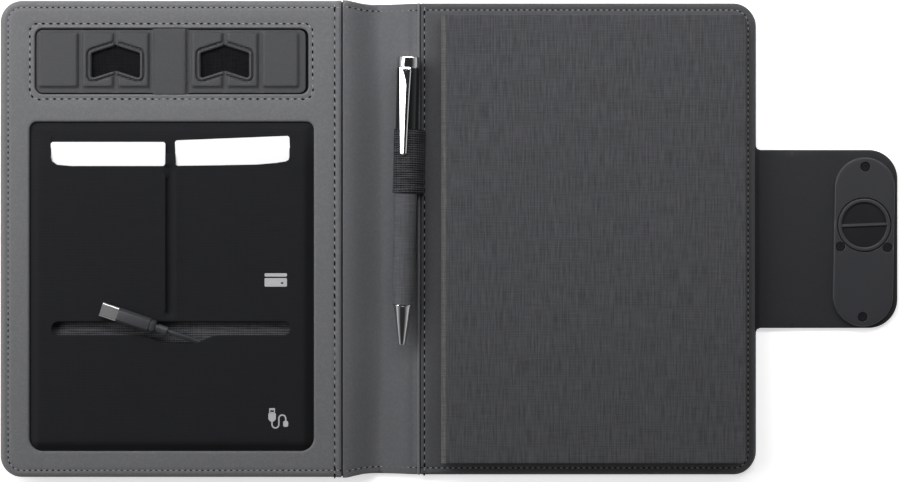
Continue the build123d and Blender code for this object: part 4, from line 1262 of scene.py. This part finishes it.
def printed(name, outlines, material=PRINT_GREY, lift=0.03):
    """A thin printed mark that lies on the pocket's cloth."""
    points, faces = [], []
    for outline in outlines:
        first, count = len(points), len(outline)
        spots = np.array(outline, float)
        heights = panel_height(spots[:, 0], spots[:, 1])
        for rise in (lift, 0.0):
            points += [(x, y, z + rise) for (x, y), z in zip(spots, heights)]
        faces.append(tuple(range(first, first + count)))
        faces.append(tuple(range(first + count, first + 2 * count))[::-1])
        for k in range(count):
            a, b = first + k, first + (k + 1) % count
            faces.append((a, a + count, b + count, b))
    dressed(piece_from(name, points, faces, material), "front_cover")


def box_mark(x0, x1, y0, y1, radius):
    return rounded_corners([(x0, y0), (x1, y0), (x1, y1), (x0, y1)], radius)


def cable_bend():
    """A narrow S from the cable's plug to its socket."""
    radius, half_width = 1.64, 0.34
    turn = np.linspace(0, math.pi, 12)
    path = [(-85.14, -87.1), *zip(-83.5 - radius * np.cos(turn), -88.7 - radius * np.sin(turn))]
    path += [*zip(-80.22 - radius * np.cos(turn), -85.8 + radius * np.sin(turn)), (-78.58, -87.1)]
    side = sideways(path, closed=False) * half_width
    path = np.asarray(path, float)
    return [tuple(p) for p in path - side] + [tuple(p) for p in (path + side)[::-1]]


MARK_PLUG = [(-86.9, -86.2), (-85.9, -87.3), (-84.3, -87.3), (-83.3, -86.2), (-83.3, -83.3), (-86.9, -83.3)]
printed("card_mark", [box_mark(-88.7, -78.0, -18.0, -16.4, 0.5), box_mark(-88.7, -78.0, -22.8, -18.7, 0.5)])
printed("card_mark_dot", [box_mark(-80.9, -79.7, -21.5, -20.7, 0.3)], HOLE_SHADE_AND_DARK_PRINT, 0.06)
printed("cable_mark", [
    rounded_corners(MARK_PLUG, 0.4),
    box_mark(-86.5, -83.7, -83.2, -80.9, 0.3),
    cable_bend(),
    box_mark(-79.8, -77.4, -89.8, -87.0, 0.7),
])
printed("cable_mark_slit", [box_mark(-86.0, -84.2, -82.7, -81.9, 0.1)], HOLE_SHADE_AND_DARK_PRINT, 0.06)


# Notebook

BOARD_LEFT, REAR_LEFT, BOARD_RIGHT, BOARD_HALF = -1.68, -4.2, 141.8, 107.5
REAR_LOW, REAR_TOP, FRONT_LOW, NOTEBOOK_TOP = 3.5, 5.5, 10.5, 12.5


def notebook_board(name, left, low, high, edge_round, bands, pitch):
    return moulded_plate(
        name, rounded_box(left, BOARD_RIGHT, -BOARD_HALF, BOARD_HALF, (0.4, 2.5, 2.5, 0.4)),
        lambda x, y, gaps: high - rounding(gaps[0], edge_round),
        lambda x, y, gaps: low + rounding(gaps[0], 0.4),
        NOTEBOOK_LINEN, bands, pitch,
    )


front = notebook_board("notebook_front_board", BOARD_LEFT, FRONT_LOW, NOTEBOOK_TOP, 0.6, edge_bands(0.6), 9.0)
dressed(front, "notebook_cover", "notebook_front_cover", slot="notebook_cloth")
rear = notebook_board("notebook_rear_board", REAR_LEFT, REAR_LOW, REAR_TOP, 0.4, edge_bands(0.5), 12.0)
dressed(rear, "back_cover", "notebook_back_cover", slot="notebook_cloth")
section = [(-2.4, 3.6), (-4.2, 3.6), (-4.3, 9.0)]
section += [(-4.3 + 2.6 * (1 - math.cos(a)), 9.6 + 2.75 * math.sin(a)) for a in np.radians(range(0, 91, 10))]
section += [(-1.7, 10.4), (-2.4, 9.9)]
rings = [[(x, y, z) for x, z in section] for y in np.linspace(-BOARD_HALF, BOARD_HALF, 30)]
# The rounded spine takes the lighter copy of the linen, painted light on its lit side.
dressed(swept_rings("notebook_spine", rings, LIT_SPINE_LINEN, 50), "back_cover", slot="notebook_cloth")


# Pen, on its own axis from tip to finial

PEN_PLACE = placed_at((-21.1, 37.3, 8.7), -1.35, "Z")
BARREL_TOP, BARREL_FOOT, FINIAL, CONE = 44.5, -68.9, 5.7, 19.1
LOOP_INNER, LOOP_OUTER, LOOP_HALF, RIB_PITCH, RIB_HEIGHT = 5.8, 6.25, 15.3, 1.07, 0.14
LOOP_TAIL, LOOP_SIDES = Vector((8.75, -4.55)), 40
LOOP_LEAVE, LOOP_END = math.radians(23), math.radians(300)
CLIP_LENGTH, CLIP_TOP_WIDTH, CLIP_TIP_WIDTH, CLIP_LOW, CLIP_HEIGHT = 41.0, 5.6, 2.9, 6.7, 1.25
CLIP_PLACE = PEN_PLACE @ Matrix.Rotation(math.radians(-10.5), 4, "Y")
CLIP_POST = ((-1.9, 40.2), (1.9, 40.2), (1.9, 44.4), (-1.9, 44.4))


def turned(name, profile, material, place=PEN_PLACE, sides=56, hollow=False):
    """A round piece about the Y axis of a place, from radius and length pairs."""
    angles = [math.tau * k / sides for k in range(sides)]
    rings = [
        [place @ Vector((radius * math.sin(a), length, radius * math.cos(a))) for a in angles]
        for radius, length in profile
    ]
    return swept_rings(name, rings, material, 32, hollow)


def pen_ends():
    top, end, foot, tip = BARREL_TOP, BARREL_TOP + FINIAL, BARREL_FOOT, BARREL_FOOT - CONE
    cap = [
        (3.0, top), (5.3, top + 0.03), (5.35, top + 0.3), (5.64, top + 0.38), (5.7, top + 0.55),
        (5.7, top + 4.9), (5.6, top + 5.3), (5.2, end - 0.08), (4.6, end), (3.0, end),
    ]
    dressed(turned("pen_finial_cap", cap, BRIGHT_CHROME), "pen_upper", "pen_finial", slot="bright_metal")
    cone = [
        (3.05, foot), (3.05, foot - 7.0), (1.3, foot - 7.1), (1.3, tip), (1.65, tip), (1.85, tip + 0.5),
        (2.6, tip + 5.5), (3.5, tip + 11.0), (4.35, foot - 2.2), (4.75, foot - 0.75), (4.95, foot - 0.6),
        (5.0, foot - 0.45), (4.98, foot - 0.12), (4.85, foot),
    ]
    cone = turned("pen_chrome_cone", cone, BRIGHT_CHROME, hollow=True)
    dressed(cone, "pen_lower", "pen_cone", slot="bright_metal")


def clip_ring(length):
    """A section of the clip: a broad facet to the left of a ridge and a narrow one to its right."""
    share = (BARREL_TOP - length) / CLIP_LENGTH
    half = (CLIP_TOP_WIDTH + (CLIP_TIP_WIDTH - CLIP_TOP_WIDTH) * share) / 2
    low = CLIP_LOW + 0.5 * math.sin(math.pi * min(1.0, share * 1.1))
    opened = min(1.0, max(0.0, share) / 0.2) ** 0.6
    ridge = half * (1.15 * opened - 0.8 - 0.2 * share)
    high = low + CLIP_HEIGHT
    left, right = high - 0.22 * (half + ridge), high - 0.2 * (half - ridge)
    section = [
        (-half, low), (half, low), (half, right - 0.45), (half - 0.3, right), (ridge + 0.1, high - 0.02),
        (ridge, high), (ridge - 0.1, high - 0.02), (-half + 0.12, left), (-half, left - 0.2),
    ]
    return [Vector((x, length, z)) for x, z in section]


def pen_clip():
    rings = [clip_ring(BARREL_TOP + 0.02 - CLIP_LENGTH * k / 28) for k in range(29)]
    rings.append([Vector((p.x * 0.55, p.y - 0.7, p.z - 0.2)) for p in rings[-1]])
    post = [[Vector((x, y, z)) for x, y in CLIP_POST] for z in (4.8, CLIP_LOW + 0.2)]
    rings, post = ([[CLIP_PLACE @ p for p in ring] for ring in part] for part in (rings, post))
    clip = swept_rings("pen_chrome_clip", rings, BRIGHT_CHROME, 20)
    dressed(clip, "pen_upper", "pen_clip", slot="bright_metal")
    dressed(swept_rings("pen_clip_post", post, BRIGHT_CHROME), "pen_upper")


def loop_ring(y):
    """A section of the elastic: round the pen, and along the tail that runs down to its seam."""
    rib = RIB_HEIGHT * math.sin(math.tau * y / RIB_PITCH)
    hem = 0.18 if y < -LOOP_HALF + 1.4 else 0.0
    radius = LOOP_OUTER - 0.1 + rib + hem
    angles = [LOOP_LEAVE + (LOOP_END - LOOP_LEAVE) * k / LOOP_SIDES for k in range(LOOP_SIDES + 1)]
    section = [(radius * math.cos(a), radius * math.sin(a)) for a in angles]
    halfway = Vector(section[0]).lerp(LOOP_TAIL, 0.5)
    tail_x, tail_z = LOOP_TAIL
    section += [(tail_x, tail_z - 0.35), (tail_x + 0.35, tail_z), (tail_x, tail_z + 0.3 + rib)]
    section.append((halfway.x + 0.12, halfway.y + 0.2 + rib))
    return [PEN_PLACE @ Vector((x, y, z)) for x, z in section]


def pen_loop():
    slices = int(2 * LOOP_HALF / RIB_PITCH * 6)
    rings = [loop_ring(-LOOP_HALF + 2 * LOOP_HALF * number / slices) for number in range(slices + 1)]
    turn = [math.tau * k / LOOP_SIDES for k in range(LOOP_SIDES)]
    bore = [
        [PEN_PLACE @ Vector((LOOP_INNER * math.cos(a), y, LOOP_INNER * math.sin(a))) for a in turn]
        for y in (-LOOP_HALF, LOOP_HALF)
    ]
    sides = len(rings[0])
    faces = ring_faces(slices, sides) + ring_faces(1, LOOP_SIDES, len(rings) * sides)
    points = [p for ring in rings + bore for p in ring]
    loop = piece_from("pen_elastic_loop", points, faces, LOOP_ELASTIC, 60)
    dressed(loop, "pen_holder", "pen_loop", slot="elastic")
    for label, ring, hole in (("foot", rings[0], bore[0]), ("head", rings[-1], bore[1])):
        near = [min(hole, key=lambda spot: (spot - point).length) for point in ring]
        edge = piece_from(f"pen_loop_{label}_edge", ring + near, ring_faces(1, sides), LOOP_ELASTIC)
        dressed(edge, "pen_holder")


pen_ends()
pen_clip()
pen_loop()


# Lock plate with its turning ring

PLATE_PLACE = placed_at((199.9, -1.4, 0), -1.0, "Z")
PLATE_LENGTH, PLATE_WIDTH, PLATE_LOW, PLATE_TOP, SCREW_RADIUS = 81.6, 29.0, 2.1, 4.0, 2.3
RING_Y, RING_RADIUS, RING_WIDTH, RING_GAP, WELL_FLOOR = 8.2, 12.7, 1.75, 0.45, 2.95
SCREW_SPOTS = ((0, 36.3), (0, -36.3), (-11.4, -2.45), (11.4, -2.45))
RING_SIDES = 72


def on_plate(points):
    return [tuple((PLATE_PLACE @ Vector((x, y, 0))).xy) for x, y in points]


def circle(x, y, radius, count):
    return [(x + radius * math.cos(a), y + radius * math.sin(a)) for a in np.arange(count) * math.tau / count]


def lock_plate():
    half, reach = PLATE_WIDTH / 2, PLATE_LENGTH / 2
    holes = [on_plate(circle(0, RING_Y, RING_RADIUS + RING_GAP, RING_SIDES))]
    holes += [on_plate(circle(x, y, SCREW_RADIUS, 24)) for x, y in SCREW_SPOTS]
    plate = moulded_plate(
        "lock_face_plate", on_plate(rounded_box(-half, half, -reach, reach, half - 0.01, 1.6)),
        lambda x, y, gaps: PLATE_TOP - rounding(gaps[0], 0.6) - sum(rounding(gap, 0.2) for gap in gaps[1:]),
        PLATE_LOW, LOCK_LACQUER, (0.03, 0.12, 0.2, 0.35, 0.6), 2.0,
        holes=holes,
    )
    dressed(plate, "flap_end", "lock_front_shell", slot="lock_metal")
    middle = PLATE_PLACE @ placed_at((0, RING_Y, 0), 90, "X")
    outer, inner, rim = RING_RADIUS, RING_RADIUS - RING_WIDTH, PLATE_TOP + 0.05
    ring = [
        (outer - 0.6, PLATE_LOW + 0.1), (outer, PLATE_LOW + 0.3), (outer, rim - 0.35),
        (outer - 0.1, rim - 0.1), (outer - 0.35, rim), (inner + 0.3, rim), (inner + 0.08, rim - 0.1),
        (inner, rim - 0.3), (inner - 0.1, WELL_FLOOR - 0.1),
    ]
    ring = turned("lock_turn_ring", ring, LOCK_LACQUER, middle, RING_SIDES)
    dressed(ring, "turn_disc", "turn_disc", slot="lock_metal")
    well = [(inner + 0.2, WELL_FLOOR - 0.3), (inner + 0.2, WELL_FLOOR), (2.0, WELL_FLOOR)]
    well = turned("lock_ring_well", well, WELL_LACQUER, middle, RING_SIDES)
    dressed(well, "turn_disc", slot="lock_metal")
    bar_place = PLATE_PLACE @ placed_at((0, RING_Y, 0), 3.4, "Z")
    section = [
        (-0.75, WELL_FLOOR - 0.1), (0.75, WELL_FLOOR - 0.1), (0.7, rim - 0.5), (0.45, rim - 0.22),
        (-0.45, rim - 0.22), (-0.7, rim - 0.5),
    ]
    bar = [[bar_place @ Vector((x, y, z)) for y, z in section] for x in (0.1 - inner, inner - 0.1)]
    dressed(swept_rings("lock_finger_bar", bar, LOCK_LACQUER, 40), "turn_disc", slot="lock_metal")


lock_plate()


# Floor, air and lamps

FLOOR_REACH, FLOOR_DROP = 12.0, 0.0002
FLOOR_PAINT, FLOOR_GLOW = 0.86, 0.55
AIR_LOW, AIR_HIGH, AIR_BESIDE, AIR_ABOVE = 0.1, 0.8, 0.62, 0.03
LAMPS = (
    ("key", (-1.02, 0.42, 0.82), (0.0, 0.0, 0), (1.3, 0.6), 12.2, math.pi),
    ("top", (0.02, 0.36, 0.42), (0.02, 0.13, 0), (1.3, 0.16), 1.5, 1.9),
)


def white_floor():
    reach = FLOOR_REACH
    corners = [(-reach, -reach, 0), (reach, -reach, 0), (reach, reach, 0), (-reach, reach, 0)]
    floor_data = bpy.data.meshes.new("floor")
    floor_data.from_pydata(corners, [], [(0, 1, 2, 3)])
    floor = linked("floor", floor_data)
    floor.location.z = -FLOOR_DROP
    material = bpy.data.materials.new("white_floor")
    material.use_nodes = True
    tree = material.node_tree
    tree.nodes.clear()
    paint = add(tree, "BsdfDiffuse", {"Color": grey(FLOOR_PAINT)})
    glow = add(tree, "Emission", {"Color": grey(1.0), "Strength": FLOOR_GLOW})
    rays = add(tree, "LightPath").outputs
    seen = maths(tree, "MAXIMUM", rays["Is Camera Ray"], rays["Is Glossy Ray"])
    seen = maths(tree, "MAXIMUM", seen, rays["Is Transmission Ray"])
    lit = add(tree, "AddShader", {0: paint.outputs[0], 1: glow.outputs[0]})
    both = add(tree, "MixShader", {0: seen, 1: paint.outputs[0], 2: lit.outputs[0]})
    tree.links.new(both.outputs[0], add(tree, "OutputMaterial").inputs[0])
    floor_data.materials.append(material)


def studio_air():
    world = bpy.data.worlds.new("studio")
    bpy.context.scene.world = world
    world.use_nodes = True
    tree = world.node_tree
    tree.nodes.clear()
    axes = add(tree, "SeparateXYZ", {0: add(tree, "TexCoord").outputs["Generated"]}).outputs
    level = ramped(tree, axes["Z"], AIR_LOW, AIR_HIGH, AIR_BESIDE, AIR_ABOVE)
    air = add(tree, "Background", {"Color": grey(1.0), "Strength": level})
    tree.links.new(air.outputs[0], add(tree, "OutputWorld").inputs[0])


white_floor()
studio_air()
for name, place, aim, size, energy, spread in LAMPS:
    lamp_data = bpy.data.lights.new(name, "AREA")
    lamp_data.shape = "RECTANGLE"
    lamp_data.size, lamp_data.size_y = size
    lamp_data.energy = energy
    lamp_data.spread = spread
    lamp = linked(name, lamp_data)
    lamp.location = place
    lamp.rotation_euler = (Vector(aim) - lamp.location).to_track_quat("-Z", "Y").to_euler()
bpy.context.scene.view_settings.view_transform = "Standard"
